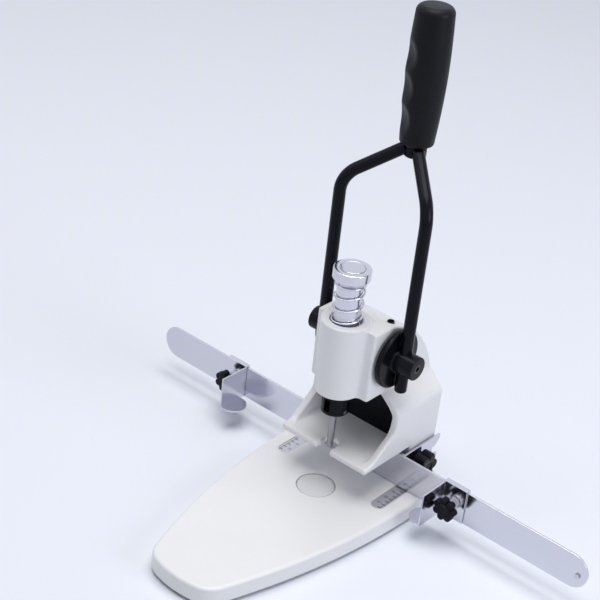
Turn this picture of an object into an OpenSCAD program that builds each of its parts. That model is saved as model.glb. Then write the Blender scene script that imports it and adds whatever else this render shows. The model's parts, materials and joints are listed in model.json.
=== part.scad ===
/* [Base] */
// Height of the base's top above the table, feet included
base_top = 18; // [16:0.5:26]
// Height of the rubber feet
foot_h = 2.5; // [1.5:0.5:3.5]
// Radius of a rubber foot
foot_r = 8.5; // [6:0.5:10]
// Punch axis to the front tip of the base
base_front = 175; // [155:1:205]
// Punch axis to the rear edge of the base
base_rear = 92; // [91:1:115]
// Half the width of the base where it is widest
base_half_w = 69; // [67:1:85]
// How far behind the punch axis the base is widest
base_wide_y = 40; // [36:1:60]
// Radius of the long side curves
side_r = 600; // [520:10:900]
// Radius of the front curve
front_r = 85; // [70:1:100]
// Radius of the corners between the front and the sides
front_corner_r = 20; // [12:1:26]
// Radius of the rear corners
rear_corner_r = 45; // [30:1:46]
// Side walls of the base
base_wall = 4; // [3:0.5:5.5]
// Top skin of the base
base_skin = 4; // [3.5:0.5:6]
// Thickness of the bottom cover
cover_t = 2; // [1.5:0.5:3]

/* [Cutting disc and scales] */
// Radius of the turnable cutting disc
disc_r = 16; // [13:0.2:17]
// How far behind the punch axis the disc's centre lies
disc_y = -12; // [-13:0.5:-8]
// How far the disc stands above the base
disc_rise = 0.8; // [0.4:0.1:1.5]
// Thickness of the cutting disc
disc_t = 5; // [4:0.5:6]
// Finger notches round the disc
disc_notches = 38; // [24:1:44]
// Half the distance between the two scale windows
window_x = 50.3; // [46:0.5:54]
// Width of a scale window
window_w = 12; // [8:0.5:14]
// Front end of the scale windows
window_front = 1.3; // [-4:0.1:8]
// Rear end of the scale windows
window_rear = 47; // [40:0.5:48]
// Depth of the scale windows
window_depth = 1.4; // [1:0.1:2]
// Thickness of a scale plate
scale_t = 0.6; // [0.4:0.1:0.8]

/* [Head casting] */
// Clear height between the base and the head's foot plate
throat_h = 32; // [32:0.5:38]
// Thickness of the head's foot plate
plate_t = 5; // [4:0.5:7]
// Half the width of the head and its pillar
body_half_w = 44.3; // [42:0.1:45]
// Rear face of the head and its pillar
body_rear = 86.5; // [86:0.5:89]
// Front face of the pillar
pillar_front = 50; // [50:0.5:52]
// Front edge of the foot plate, in front of the punch axis
plate_front = 9; // [6:0.5:14]
// Half the width of the sight notch in the foot plate
notch_half_w = 6.85; // [5:0.05:9]
// Side walls of the chamber
side_wall = 6.3; // [5:0.1:8]
// Where the chamber's side walls turn upright, behind the axis
wall_front = 26; // [24:0.5:30]
// Height of the sloping front edge of the side walls
slope_h = 25.5; // [20:0.5:28]
// Bevel along the outside of that edge
slope_bevel = 2.5; // [0.5:0.1:4]
// Drop of the sloping shoulders from the upper block
shoulder_drop = 17.5; // [15:0.5:20]
// Half the width of the upper block
block_half_w = 29; // [29:0.1:30]
// Front face of the upper block
block_front = 1; // [0:0.5:3]
// Thickness over the gear chamber
roof_t = 3.3; // [3.2:0.1:6]
// Length of the flat top before it curves down
flat_y = 16; // [14:0.5:22]
// Radius of the upper curve of the back
crown_r = 58; // [54:1:64]
// Angle that the upper curve turns through
crown_turn = 35.9; // [32:0.1:38]
// Radius of the lower curve of the back
back_r = 97; // [94:1:104]
// Radius of the round nose at its lower end
nose_r = 18.6; // [17.5:0.1:19.5]
// Radius of the round nose at its upper end
nose_top_r = 20; // [19.6:0.1:21]
// How far the nose stands above the upper block
nose_rise = 3.5; // [2:0.5:6]
// Depth behind the punch axis at which the chamber ends
chamber_depth = 44.5; // [42:0.5:45]
// Thickness of the dark panel that closes the chamber
panel_t = 1.5; // [1:0.1:2]
// Thickness of the rear cover
rear_cover_t = 1.5; // [1:0.1:2.5]

/* [Punch and plunger] */
// Stroke of the plunger
stroke = 32; // [26:0.5:33]
// Radius of the plunger
plunger_r = 10.3; // [9:0.1:10.4]
// How far the plunger's cap stands above the nose
cap_gap = 33.6; // [32.6:0.1:42]
// Radius of the cap
cap_r = 14.9; // [13.6:0.1:16]
// Height of the cap
cap_h = 11; // [6:0.1:12]
// Radius of the plate set in the cap's top
cap_disc_r = 9.7; // [7:0.1:11]
// Outer radius of the return spring
spring_r = 12.5; // [12.4:0.1:12.9]
// Wire diameter of the return spring
wire_d = 1.6; // [1.4:0.1:1.8]
// Open coils of the return spring
open_coils = 3.7; // [3:0.1:4.5]
// Radius of the punch holder
holder_r = 11.2; // [9:0.1:11.5]
// Height of the punch holder
holder_h = 19.5; // [18:0.5:24]
// Outer radius of the hollow punch
bit_r = 2.75; // [2:0.05:3.2]
// Bore radius of the hollow punch
bit_bore_r = 2.1; // [1.2:0.05:2.4]

/* [Lever and gear] */
// Module of the rack and pinion
gear_module = 1.5; // [1.4:0.05:1.6]
// Teeth of the pinion
gear_teeth = 30; // [28:1:31]
// Width of the pinion
gear_w = 16; // [12:0.5:18]
// Height of the lever shaft above the block's underside
shaft_rise = 33; // [32:0.5:38]
// Radius of the lever shaft
shaft_r = 8; // [7:0.1:9]
// Outer radius of the shaft's bushes in their bores
bush_r = 11; // [10.5:0.1:12]
// Length of a shaft bush
bush_len = 15; // [12:0.5:17]
// Radius of the right hub's disc
hub_r = 24.8; // [22:0.1:28]
// Radius of the left hub's disc
left_hub_r = 18; // [14:0.1:24.8]
// Thickness of a hub's disc
hub_t = 4.4; // [3:0.1:6]
// Radius of a hub's boss
boss_r = 9.8; // [9.8:0.1:12]
// Length of the right hub's boss beyond its disc
boss_len = 18.4; // [17:0.1:22]
// Length of the left hub's boss beyond its disc
left_boss_len = 14.3; // [14:0.1:22]
// Radius of the lever rods
rod_r = 5; // [3.8:0.1:5.2]
// How far the rods reach below the shaft
rod_tail = 26.5; // [20:0.5:32]
// Straight length of the rods above the shaft
rod_straight = 117; // [98:0.5:125]
// Radius of the bend at the rods' shoulders
bend_r = 23.7; // [16:0.1:26]
// Angle of the bend at the rods' shoulders
bend_turn = 57.8; // [50:0.1:65]
// How far the grip stands behind the rods
grip_back = 33; // [20:0.5:40]
// Length of the grip
grip_len = 108; // [100:1:130]
// Radius of the grip at its lower end
grip_low_r = 13.3; // [11:0.1:14]
// Radius of the grip at its upper end
grip_top_r = 14.3; // [12:0.1:15]
// Swell of the grip between its ends
grip_swell = 2.3; // [1:0.1:3]
// Depth of the finger grooves
groove_depth = 2.8; // [1.5:0.1:5]
// How far the grooves are turned from the front towards the left, in degrees
groove_turn = 32; // [0:1:45]

/* [Margin bar and stops] */
// Half the length of the margin bar
bar_half_len = 225.7; // [190:0.1:250]
// Height of the margin bar
bar_h = 30; // [26:0.5:30.5]
// Thickness of the margin bar
bar_t = 2; // [1.5:0.1:2.5]
// Rear face of the margin bar, behind the punch axis
bar_rear = 39.75; // [38:0.05:40]
// Length of the bar's arms behind the bar
arm_len = 48.25; // [44:0.25:52]
// Thickness of the arms
arm_t = 2; // [1.5:0.1:2]
// Width of the slots in the arms
arm_slot_w = 8; // [7:0.5:9]
// Clamp screws behind the punch axis
clamp_y = 58; // [58:0.5:59]
// Clamp screws above the base
clamp_z = 16; // [14:0.5:18]
// Radius over the lobes of a clamp knob
clamp_knob_r = 13; // [10:0.5:15]
// Thickness of a clamp knob
clamp_knob_t = 10; // [8:0.5:14]
// Sheet thickness of the side stops
sheet_t = 1.2; // [0.8:0.1:1.6]
// Inner face of the right side stop
stop_right_x = 90; // [86:1:140]
// Inner face of the left side stop
stop_left_x = 126; // [86:1:140]
// Width of a side stop's clip
clip_w = 22; // [18:0.5:26]
// Length of a side stop's flange in front of the bar
flange_len = 30; // [24:0.5:34]
// Radius of a side stop's paper tab
tab_r = 12; // [9:0.5:13]
// Radius over the lobes of a stop knob
stop_knob_r = 10.2; // [8:0.1:13.5]
// Thickness of a stop knob
stop_knob_t = 13; // [9:0.5:16]

/* [Hidden] */
$fn = 72;

cast_white = [0.93, 0.93, 0.91];
black_steel = [0.09, 0.09, 0.11];
black_plastic = [0.06, 0.06, 0.07];
chrome = [0.78, 0.79, 0.82];
steel = [0.55, 0.56, 0.58];
bronze = [0.66, 0.49, 0.27];
rubber = [0.15, 0.15, 0.15];

// Clearances, all on the radius or on one face
run_fit = 0.05;
seat_fit = 0.02;
loose_fit = 0.3;
// How far a cut runs past the face that it opens
past = 1;

// Heights, from the table up
cover_top = foot_h + cover_t;
skin_z = base_top - base_skin;
plate_z = base_top + throat_h;
floor_z = plate_z + plate_t;
disc_top = base_top + disc_rise;
spindle_r = 3;
spindle_head_r = 5.5;
spindle_head_h = 3;
spindle_boss_z = cover_top + 2.5;
tip_gap = 0.4;
tip_z = disc_top + stroke + tip_gap;
plate_clear = 0.5;
holder_z = floor_z + plate_clear + stroke;
plunger_z = holder_z + holder_h;
block_z = plunger_z + plate_clear;
shoulder_z = block_z - shoulder_drop;
shaft_z = block_z + shaft_rise;

// Rack and pinion
pitch_r = gear_module * gear_teeth / 2;
gear_r = pitch_r + gear_module;
gear_root_r = pitch_r - 1.25 * gear_module;
gear_clear = 0.7;
gear_chamber_r = gear_r + gear_clear;
gear_chamber_half_w = gear_w / 2 + gear_clear;
rack_pitch_y = 4.5;
shaft_y = rack_pitch_y + pitch_r;
tooth_pitch = PI * gear_module;
pressure_angle = 20;
backlash = 0.2;
rack_flat_y = rack_pitch_y + gear_module;
rack_reach = sqrt(pow(gear_r, 2) - pow(shaft_y - plunger_r, 2)) + loose_fit;
rack_low = shaft_z - rack_reach;
rack_high = shaft_z + stroke + rack_reach;
rack_last = ceil(stroke / tooth_pitch) + 2;
key_w = 5;
key_rise = 2;

// Walls and hollows of the head
chamber_half_w = body_half_w - side_wall;
shoulder_round = [3.2, 5.4];
hollow_half_w = 22;
hollow_z = base_top + 6;
hollow_top = block_z - 9.5;
hollow_wall = 4;
rear_cover_half_w = hollow_half_w + 6;

// Top of the head
block_top = shaft_z + gear_chamber_r + roof_t;
nose_top = block_top + nose_rise;
counterbore_depth = 11;
seat_t = 1.5;
spring_z = nose_top - counterbore_depth + seat_t;
cap_z = nose_top + cap_gap;
bush_inner = plunger_r + run_fit;
lower_bush_r = plunger_r + 3.1;
lower_bush_h = 11.5;

// Punch holder and punch
stem_r = 4;
stem_h = 13;
bit_head_r = 4;
bit_head_h = 4.5;

// Return spring
closed_coils = 0.9;
spring_turns = open_coils + 2 * closed_coils;

// Lever
hub_gap = 2.3;
hub_x = block_half_w + hub_gap;
boss_x = hub_x + hub_t;
rod_x = boss_x + 5.7;
shaft_half_len = rod_x + rod_r + 1.3;
screw_start = rod_x + rod_r;
hub_screw_r = 4;
hub_socket_depth = 3;
heading_len = sqrt(rod_x * rod_x + grip_back * grip_back);
bend_z = shaft_z + rod_straight;
shoulder_len = (heading_len - bend_r * (1 - cos(bend_turn))) / sin(bend_turn);
yoke_z = bend_z + bend_r * sin(bend_turn) + shoulder_len * cos(bend_turn);
yoke_y = shaft_y + grip_back;
rod_short = 9.6;
collar_r = 8.8;
collar_z = yoke_z - 11;
collar_top = yoke_z - 0.8;
grip_z = collar_top + 0.3;
grip_bolt_r = 2.9;

// Margin bar, arms and stops
bar_z = base_top + loose_fit;
bar_top = bar_z + bar_h;
bar_front = bar_rear - bar_t;
bar_end_r = bar_h / 2;
pin_r = 2;
pin_inset = 8.2;
pin_z = base_top + 13.3;
arm_gap = 1.7;
arm_x = body_half_w + arm_gap;
arm_outer = arm_x + arm_t;
arm_end = bar_rear + arm_len;
clamp_height = base_top + clamp_z;
bar_back_travel = clamp_y - clamp_knob_r - bar_rear - 0.35;
clamp_screw_r = 3;
slot_front = clamp_y - clamp_screw_r - bar_back_travel - 0.5;
clamp_hole_depth = 14;
pad_gap = 0.4;
knob_collar = 1.7;
clamp_knob_x = arm_outer + loose_fit + knob_collar;
stop_front = bar_front - loose_fit - sheet_t;
stop_rear = bar_rear + loose_fit;
stop_z = base_top + 0.6;
flange_z = base_top + 0.9;
fold_z = bar_top + loose_fit;
tab_reach = 3;
stop_screw_r = 2.5;
stop_nut_t = 2;
stop_knob_y = stop_front - stop_nut_t - 0.25;
stop_screw_x = sheet_t + stop_knob_r + 0.5;
stop_screw_z = base_top + 16;

// Rows of screws
cover_screw_r = 1.5;
cover_head_r = 3;
bolt_r = 4;
bolt_head_r = 6.5;
bolt_x = 33;
bolt_rows = [67, 80];
bolt_head_z = cover_top + 1;
bolt_head_h = 5.5;
bolt_reach = 22;
bolt_end_z = base_top + bolt_reach;
rear_screw_r = 1.5;
lock_x = 20.8;
lock_y = 30.5;
lock_r = 2.9;

// Centres of the arcs that make the outline of the base, on its right half
side_c = [base_half_w - side_r, base_wide_y];
front_c = [0, front_r - base_front];
rear_c_y = base_rear - rear_corner_r;
rear_reach = side_r - rear_corner_r;
rear_c = [side_c.x + sqrt(rear_reach * rear_reach - pow(rear_c_y - base_wide_y, 2)), rear_c_y];
corner_c = meet(side_c, side_r - front_corner_r, front_c, front_r - front_corner_r);

// The right-hand crossing of two circles
function meet(a, ra, b, rb) =
    let (d = norm(b - a),
         along = (d * d + ra * ra - rb * rb) / (2 * d),
         off = sqrt(max(0, ra * ra - along * along)),
         u = (b - a) / d)
    a + along * u + off * [u.y, -u.x];

// Points of an arc, both ends included
function arc(c, r, a0, a1, steps) =
    [for (i = [0 : steps]) let (a = a0 + (a1 - a0) * i / steps) c + r * [cos(a), sin(a)]];

function heading(a, b) = atan2(b.y - a.y, b.x - a.x);

// Right half of the base's outline, moved inwards by a distance
function base_half(inset) = concat(
    arc(front_c, front_r - inset, -90, heading(front_c, corner_c), 6),
    arc(corner_c, front_corner_r - inset, heading(front_c, corner_c), heading(side_c, corner_c), 8),
    arc(side_c, side_r - inset, heading(side_c, corner_c), heading(side_c, rear_c), 20),
    arc(rear_c, rear_corner_r - inset, heading(side_c, rear_c), 90, 12));

function mirrored(points) = [for (i = [len(points) - 1 : -1 : 0]) [-points[i].x, points[i].y]];

// Half the width of the base at a depth y, less a distance
function base_side_x(y, inset) = side_c.x + sqrt(pow(side_r - inset, 2) - pow(y - base_wide_y, 2));

function rear_side_x(y, inset) = rear_c.x + sqrt(pow(rear_corner_r - inset, 2) - pow(y - rear_c.y, 2));

// Feet near the front curve and near the rear corners, and the cover's screws further in
foot_from_front = 45;
foot_from_rear = 30;
foot_front_y = foot_from_front - base_front;
foot_rear_y = base_rear - foot_from_rear;
foot_inset = base_wall + foot_r + 1.5;
FEET = [
    [base_side_x(foot_front_y, foot_inset), foot_front_y],
    [rear_side_x(foot_rear_y, foot_inset), foot_rear_y]];
boss_post_r = 5;
post_inset = base_wall + boss_post_r - 0.5;
post_from_front = 70;
post_rear_y = 30;
POSTS = [for (y = [post_from_front - base_front, post_rear_y]) [base_side_x(y, post_inset), y]];

module base_outline(inset) {
    half = base_half(inset);
    polygon(concat(half, mirrored(half)));
}

module slab_x(x0, x1) {
    translate([x0, 0, 0]) rotate([90, 0, 90]) linear_extrude(x1 - x0) children();
}

module slab_y(y0, y1) {
    translate([0, y1, 0]) rotate([90, 0, 0]) linear_extrude(y1 - y0) children();
}

module slab_z(z0, z1) {
    translate([0, 0, z0]) linear_extrude(z1 - z0) children();
}

module round_x(x0, x1, y, z, r) {
    translate([x0, y, z]) rotate([0, 90, 0]) cylinder(h = x1 - x0, r = r);
}

module round_y(y0, y1, x, z, r) {
    translate([x, y0, z]) rotate([-90, 0, 0]) cylinder(h = y1 - y0, r = r);
}

module round_z(z0, z1, x, y, r) {
    translate([x, y, z0]) cylinder(h = z1 - z0, r = r);
}

module block(low, high) {
    translate(low) cube(high - low);
}

module both_sides() {
    children();
    mirror([1, 0, 0]) children();
}

// A flat shape with round ends, running along y
module stadium(x, y0, y1, w) {
    translate([x - w / 2, y0 + w / 2]) square([w, y1 - y0 - w]);
    translate([x, y0 + w / 2]) circle(w / 2);
    translate([x, y1 - w / 2]) circle(w / 2);
}

// A round-lobed star
module star(r, lobes) {
    lobe_r = r * 0.3;
    circle(r - lobe_r);
    for (i = [0 : lobes - 1]) rotate(360 * i / lobes) translate([r - lobe_r, 0]) circle(lobe_r);
}

module base_plate() {
    recess_z = disc_top - disc_t - loose_fit;
    color(cast_white) difference() {
        slab_z(foot_h, base_top) base_outline(0);
        difference() {
            slab_z(foot_h - past, skin_z) base_outline(base_wall);
            intersection() {
                block([-body_half_w + 1.3, pillar_front + 2, cover_top + 0.5], [body_half_w - 1.3, base_rear, base_top]);
                slab_z(foot_h, base_top) base_outline(base_wall - 0.5);
            }
            round_z(spindle_boss_z, base_top, 0, disc_y, disc_r + 5);
            both_sides() for (p = POSTS) round_z(cover_top, base_top, p.x, p.y, boss_post_r);
        }
        round_z(recess_z, base_top + past, 0, disc_y, disc_r + loose_fit);
        round_z(spindle_boss_z - past, recess_z + past, 0, disc_y, spindle_r + run_fit);
        round_z(spindle_boss_z - past, spindle_boss_z + spindle_head_h, 0, disc_y, spindle_head_r + loose_fit);
        both_sides() slab_z(base_top - window_depth, base_top + past) stadium(window_x, window_front, window_rear, window_w);
        both_sides() for (y = bolt_rows) {
            round_z(cover_top, base_top + past, bolt_x, y, bolt_r + loose_fit);
            round_z(foot_h, bolt_head_z + bolt_head_h, bolt_x, y, bolt_head_r + loose_fit);
        }
        both_sides() for (p = POSTS) round_z(cover_top - past, skin_z, p.x, p.y, cover_screw_r + run_fit);
    }
}

module bottom_cover() {
    color(black_steel) difference() {
        slab_z(foot_h, cover_top) base_outline(base_wall + loose_fit);
        both_sides() for (p = POSTS) cover_screw(p, seat_fit);
    }
}

// A countersunk screw, or the hole for one with a gap round it
module cover_screw(p, gap) {
    translate([p.x, p.y, foot_h]) cylinder(h = cover_screw_r, r1 = cover_head_r + gap, r2 = cover_screw_r + gap);
    round_z(foot_h, cover_top + 5, p.x, p.y, cover_screw_r + gap);
}

module cover_screws() {
    color(steel) both_sides() for (p = POSTS) cover_screw(p, 0);
}

module rubber_feet() {
    color(rubber) both_sides() for (p = FEET)
        translate([p.x, p.y, 0]) cylinder(h = foot_h, r1 = foot_r - 1, r2 = foot_r);
}

module scale_plate(x) {
    floor_of_window = base_top - window_depth;
    color(chrome) slab_z(floor_of_window, floor_of_window + scale_t)
        stadium(x, window_front + 0.15, window_rear - 0.15, window_w - 0.3);
}

module disc_spindle() {
    color(steel) {
        round_z(spindle_boss_z, disc_top - 1.8, 0, disc_y, spindle_r);
        round_z(spindle_boss_z, spindle_boss_z + spindle_head_h, 0, disc_y, spindle_head_r);
    }
}

module cutting_disc() {
    color(cast_white) difference() {
        round_z(disc_top - disc_t, disc_top, 0, disc_y, disc_r);
        round_z(disc_top - disc_t - past, disc_top - 1.5, 0, disc_y, spindle_r + run_fit);
        for (i = [0 : disc_notches - 1])
            translate([0, disc_y, disc_top - 2]) rotate(360 * i / disc_notches) round_z(0, 2 + past, disc_r, 0, 0.75);
    }
}

// Curved back of the head, from its flat top down to its rear face
function crown_points() =
    let (crown_c = [flat_y, block_top - crown_r],
         turn = [sin(crown_turn), cos(crown_turn)],
         back_c = crown_c + (crown_r - back_r) * turn,
         last = asin(min(1, (body_rear - back_c.x) / back_r)))
    concat(arc(crown_c, crown_r, 90, 90 - crown_turn, 10),
           arc(back_c, back_r, 90 - crown_turn, 90 - last, 12));

// Outline of the head over its chamber, seen from the front
function house_half() = [
    [body_half_w, plate_z], [body_half_w, shoulder_z], [body_half_w - shoulder_round.x, shoulder_z + shoulder_round.y],
    [block_half_w, block_z], [block_half_w, block_z + past]];

// Outline of the chamber, moved inwards by a distance
function chamber_half(inset) = [
    [chamber_half_w - inset, floor_z + inset], [chamber_half_w - inset, shoulder_z - 3.3],
    [chamber_half_w - 4.8 - inset, shoulder_z + 4.1 - inset], [block_half_w - 5.2 - inset, block_z - 5.7 - inset]];

module mirrored_outline(half) {
    polygon(concat(half, mirrored(half)));
}

// Side wall of the chamber, with the bevel that its sloping front edge has
module chamber_wall() {
    run = wall_front + plate_front;
    slope_angle = atan2(slope_h, run);
    cut_len = norm([run, slope_h]);
    difference() {
        slab_x(chamber_half_w, body_half_w) polygon([
            [-plate_front, plate_z], [-plate_front, floor_z], [wall_front, floor_z + slope_h],
            [wall_front, shoulder_z - 8], [wall_front + 5, shoulder_z - 8], [wall_front + 5, plate_z]]);
        translate([body_half_w - slope_bevel, -plate_front, floor_z]) rotate([slope_angle, 0, 0]) rotate([0, 45, 0])
            block([-side_wall, -side_wall, 0], [2 * side_wall, cut_len, 2 * side_wall]);
    }
}

module head_body() {
    slab_x(-block_half_w, block_half_w) polygon(concat(
        [[block_front, block_z], [block_front, block_top]], crown_points(),
        [[body_rear, plate_z], [wall_front, plate_z], [wall_front, block_z]]));
    intersection() {
        slab_y(wall_front, body_rear) mirrored_outline(house_half());
        slab_x(-body_half_w, body_half_w) polygon(concat(crown_points(), [[body_rear, plate_z], [flat_y, plate_z]]));
    }
    both_sides() chamber_wall();
    block([-body_half_w, -plate_front, plate_z], [body_half_w, body_rear, floor_z]);
    block([-body_half_w, pillar_front, base_top], [body_half_w, body_rear, plate_z + past]);
    translate([0, 0, block_z]) cylinder(h = nose_top - block_z, r1 = nose_r, r2 = nose_top_r);
    both_sides() round_x(body_half_w - past, arm_x - pad_gap, clamp_y, clamp_height, 7.5);
}

module head_hollows() {
    // The chamber, with the seat of its panel
    slab_y(wall_front - past, chamber_depth + panel_t) mirrored_outline(chamber_half(0));
    // The sight notch round the punch
    slab_z(plate_z - past, floor_z + past) {
        translate([-notch_half_w, -plate_front - past]) square([2 * notch_half_w, plate_front + past + 1]);
        translate([0, 1]) circle(notch_half_w);
    }
    // The gear chamber, open below for fitting the pinion
    round_x(-gear_chamber_half_w, gear_chamber_half_w, shaft_y, shaft_z, gear_chamber_r);
    block([-gear_chamber_half_w, shaft_y - gear_chamber_r, block_z - 6.5],
          [gear_chamber_half_w, shaft_y + gear_chamber_r, shaft_z]);
    // The plunger's bore, its lower bush and the spring's counterbore
    round_z(block_z - past, nose_top + past, 0, 0, bush_inner);
    round_z(block_z - past, block_z + lower_bush_h, 0, 0, lower_bush_r + seat_fit);
    round_z(nose_top - counterbore_depth, nose_top + past, 0, 0, spring_r + 0.4);
    // The shaft's bore, wider for the two bushes
    round_x(-block_half_w - past, block_half_w + past, shaft_y, shaft_z, shaft_r + loose_fit);
    both_sides() round_x(block_half_w - bush_len, block_half_w + past, shaft_y, shaft_z, bush_r + seat_fit);
    both_sides() round_z(shaft_z, block_top + past, lock_x, lock_y, lock_r + seat_fit);
    // The hollow pillar and its window at the back
    block([-hollow_half_w, pillar_front + hollow_wall, hollow_z], [hollow_half_w, body_rear - hollow_wall, floor_z + 4]);
    block([-hollow_half_w, pillar_front, floor_z + 3], [hollow_half_w, body_rear - hollow_wall, hollow_top]);
    block([-hollow_half_w, body_rear - hollow_wall - past, hollow_z + 4], [hollow_half_w, body_rear + past, hollow_top]);
    for (p = rear_screw_places()) round_y(body_rear - 7, body_rear + past, p.x, p.y, rear_screw_r + seat_fit);
    both_sides() round_x(body_half_w - clamp_hole_depth, arm_x, clamp_y, clamp_height, clamp_screw_r + run_fit);
    both_sides() for (y = bolt_rows) round_z(base_top - past, bolt_end_z + 2, bolt_x, y, bolt_r + seat_fit);
}

function rear_screw_places() =
    [for (x = [-1, 1], z = [hollow_z + 1.5, hollow_top + 2.5]) [x * (hollow_half_w + 3), z]];

module head_casting() {
    color(cast_white) difference() {
        head_body();
        head_hollows();
    }
}

module head_bolts() {
    color(steel) both_sides() for (y = bolt_rows) {
        round_z(bolt_head_z, bolt_end_z, bolt_x, y, bolt_r);
        difference() {
            round_z(bolt_head_z, bolt_head_z + bolt_head_h, bolt_x, y, bolt_head_r);
            translate([bolt_x, y, bolt_head_z - past]) cylinder(h = 3 + past, r = 3.8, $fn = 6);
        }
    }
}

module chamber_panel() {
    color(black_steel) slab_y(chamber_depth, chamber_depth + panel_t) mirrored_outline(chamber_half(0.2));
}

module rear_cover() {
    color(cast_white) difference() {
        block([-rear_cover_half_w, body_rear, hollow_z - 1.5],
              [rear_cover_half_w, body_rear + rear_cover_t, hollow_top + 5.5]);
        for (p = rear_screw_places()) round_y(body_rear - past, body_rear + 5, p.x, p.y, rear_screw_r + seat_fit);
    }
}

module rear_cover_screws() {
    face = body_rear + rear_cover_t;
    color(black_steel) for (p = rear_screw_places()) {
        round_y(body_rear - 6, face, p.x, p.y, rear_screw_r);
        difference() {
            round_y(face, face + 1.6, p.x, p.y, 2.8);
            block([p.x - 2, face + 0.9, p.y - 0.35], [p.x + 2, face + 3, p.y + 0.35]);
        }
    }
}

module shaft_bush(side) {
    color(bronze) mirror([side < 0 ? 1 : 0, 0, 0]) difference() {
        union() {
            round_x(block_half_w - bush_len, hub_x - loose_fit, shaft_y, shaft_z, bush_r);
            round_x(block_half_w + seat_fit, hub_x - loose_fit, shaft_y, shaft_z, bush_r + 2.5);
        }
        round_x(block_half_w - bush_len - past, hub_x, shaft_y, shaft_z, shaft_r + run_fit);
    }
}

module bush_lock_screws() {
    seat = shaft_z + sqrt(bush_r * bush_r - pow(lock_y - shaft_y, 2)) + 0.6;
    color(black_steel) both_sides() difference() {
        round_z(seat, seat + 8, lock_x, lock_y, lock_r);
        translate([lock_x, lock_y, seat + 5]) cylinder(h = 3 + past, r = 1.45, $fn = 6);
    }
}

module lower_bush() {
    color(bronze) difference() {
        round_z(block_z, block_z + lower_bush_h, 0, 0, lower_bush_r);
        round_z(block_z - past, block_z + lower_bush_h + past, 0, 0, bush_inner);
    }
}

module spring_seat() {
    color(steel) difference() {
        round_z(spring_z - seat_t, spring_z, 0, 0, spring_r + 0.2);
        round_z(spring_z - seat_t - past, spring_z + past, 0, 0, plunger_r + loose_fit);
    }
}

// The gap between two teeth of the rack, seen from the side
module rack_gap(z) {
    root_y = rack_pitch_y - 1.25 * gear_module;
    open_y = rack_flat_y + 0.5;
    root_w = tooth_pitch / 4 + backlash / 2 - (rack_pitch_y - root_y) * tan(pressure_angle);
    open_w = tooth_pitch / 4 + backlash / 2 + (open_y - rack_pitch_y) * tan(pressure_angle);
    polygon([[root_y, z - root_w], [open_y, z - open_w], [open_y, z + open_w], [root_y, z + root_w]]);
}

module plunger() {
    color(chrome) difference() {
        round_z(plunger_z, cap_z + cap_h / 2, 0, 0, plunger_r);
        block([-plunger_r - past, rack_flat_y, rack_low], [plunger_r + past, plunger_r + past, rack_high]);
        slab_x(-plunger_r - past, plunger_r + past) for (i = [-2 : rack_last]) rack_gap(shaft_z + i * tooth_pitch);
        round_z(plunger_z - past, plunger_z + stem_h + 1, 0, 0, stem_r + seat_fit);
    }
}

module plunger_cap() {
    color(chrome) difference() {
        union() {
            translate([0, 0, cap_z]) cylinder(h = 2.5, r1 = cap_r - 2, r2 = cap_r - 1);
            round_z(cap_z + 2.5, cap_z + cap_h, 0, 0, cap_r);
        }
        round_z(cap_z - past, cap_z + cap_h / 2, 0, 0, plunger_r + seat_fit);
        round_z(cap_z + cap_h - 1, cap_z + cap_h + past, 0, 0, cap_disc_r + 0.4);
    }
}

module cap_disc() {
    color(chrome) round_z(cap_z + cap_h - 1, cap_z + cap_h + 0.3, 0, 0, cap_disc_r);
}

// Height of the wire's centre after a number of turns, with closed coils at both ends
function coil_z(turns) =
    let (low = spring_z + wire_d / 2,
         high = cap_z - wire_d / 2,
         open_pitch = (high - low - 2 * closed_coils * wire_d) / open_coils)
    low + min(turns, closed_coils) * wire_d
        + max(0, min(turns - closed_coils, open_coils)) * open_pitch
        + max(0, turns - closed_coils - open_coils) * wire_d;

// A wire of eight sides along the coil
module return_spring() {
    sides = 8;
    rings_per_turn = 20;
    rings = round(spring_turns * rings_per_turn);
    coil_r = spring_r - wire_d / 2;
    wire = [for (i = [0 : rings], j = [0 : sides - 1])
        let (turns = spring_turns * i / rings, a = 360 * turns, b = 360 * (j + 0.5) / sides,
             r = coil_r + wire_d / 2 * cos(b))
        [r * cos(a), r * sin(a), coil_z(turns) + wire_d / 2 * sin(b)]];
    skin = [for (i = [0 : rings - 1], j = [0 : sides - 1])
        let (k = (j + 1) % sides) [i * sides + j, i * sides + k, (i + 1) * sides + k, (i + 1) * sides + j]];
    first = [for (j = [sides - 1 : -1 : 0]) j];
    last = [for (j = [0 : sides - 1]) rings * sides + j];
    color(chrome) polyhedron(wire, concat(skin, [first, last]), convexity = 10);
}

module punch_holder() {
    color(black_steel) difference() {
        union() {
            round_z(holder_z, plunger_z, 0, 0, holder_r);
            round_z(plunger_z - past, plunger_z + stem_h, 0, 0, stem_r);
        }
        round_z(holder_z - past, holder_z + bit_head_h, 0, 0, bit_head_r + seat_fit);
        round_z(holder_z, plunger_z - 5, 0, 0, bit_head_r - 0.8);
        block([-2.75, -holder_r - past, holder_z + 2.5], [2.75, 0, plunger_z - 6]);
        round_x(0, holder_r + past, 0, holder_z + 2.2, 2 + seat_fit);
    }
}

module holder_screw() {
    color(steel) difference() {
        round_x(bit_head_r + 0.1, holder_r - 0.5, 0, holder_z + 2.2, 2);
        translate([holder_r - 2, 0, holder_z + 2.2]) rotate([0, 90, 0]) cylinder(h = 3, r = 1.15, $fn = 6);
    }
}

module punch_bit() {
    color(steel) difference() {
        union() {
            translate([0, 0, tip_z]) cylinder(h = 1.2, r1 = bit_bore_r + 0.15, r2 = bit_r);
            round_z(tip_z + 1.2, holder_z + 1, 0, 0, bit_r);
            round_z(holder_z, holder_z + bit_head_h, 0, 0, bit_head_r);
        }
        round_z(tip_z - past, holder_z + bit_head_h + past, 0, 0, bit_bore_r);
    }
}

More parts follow.
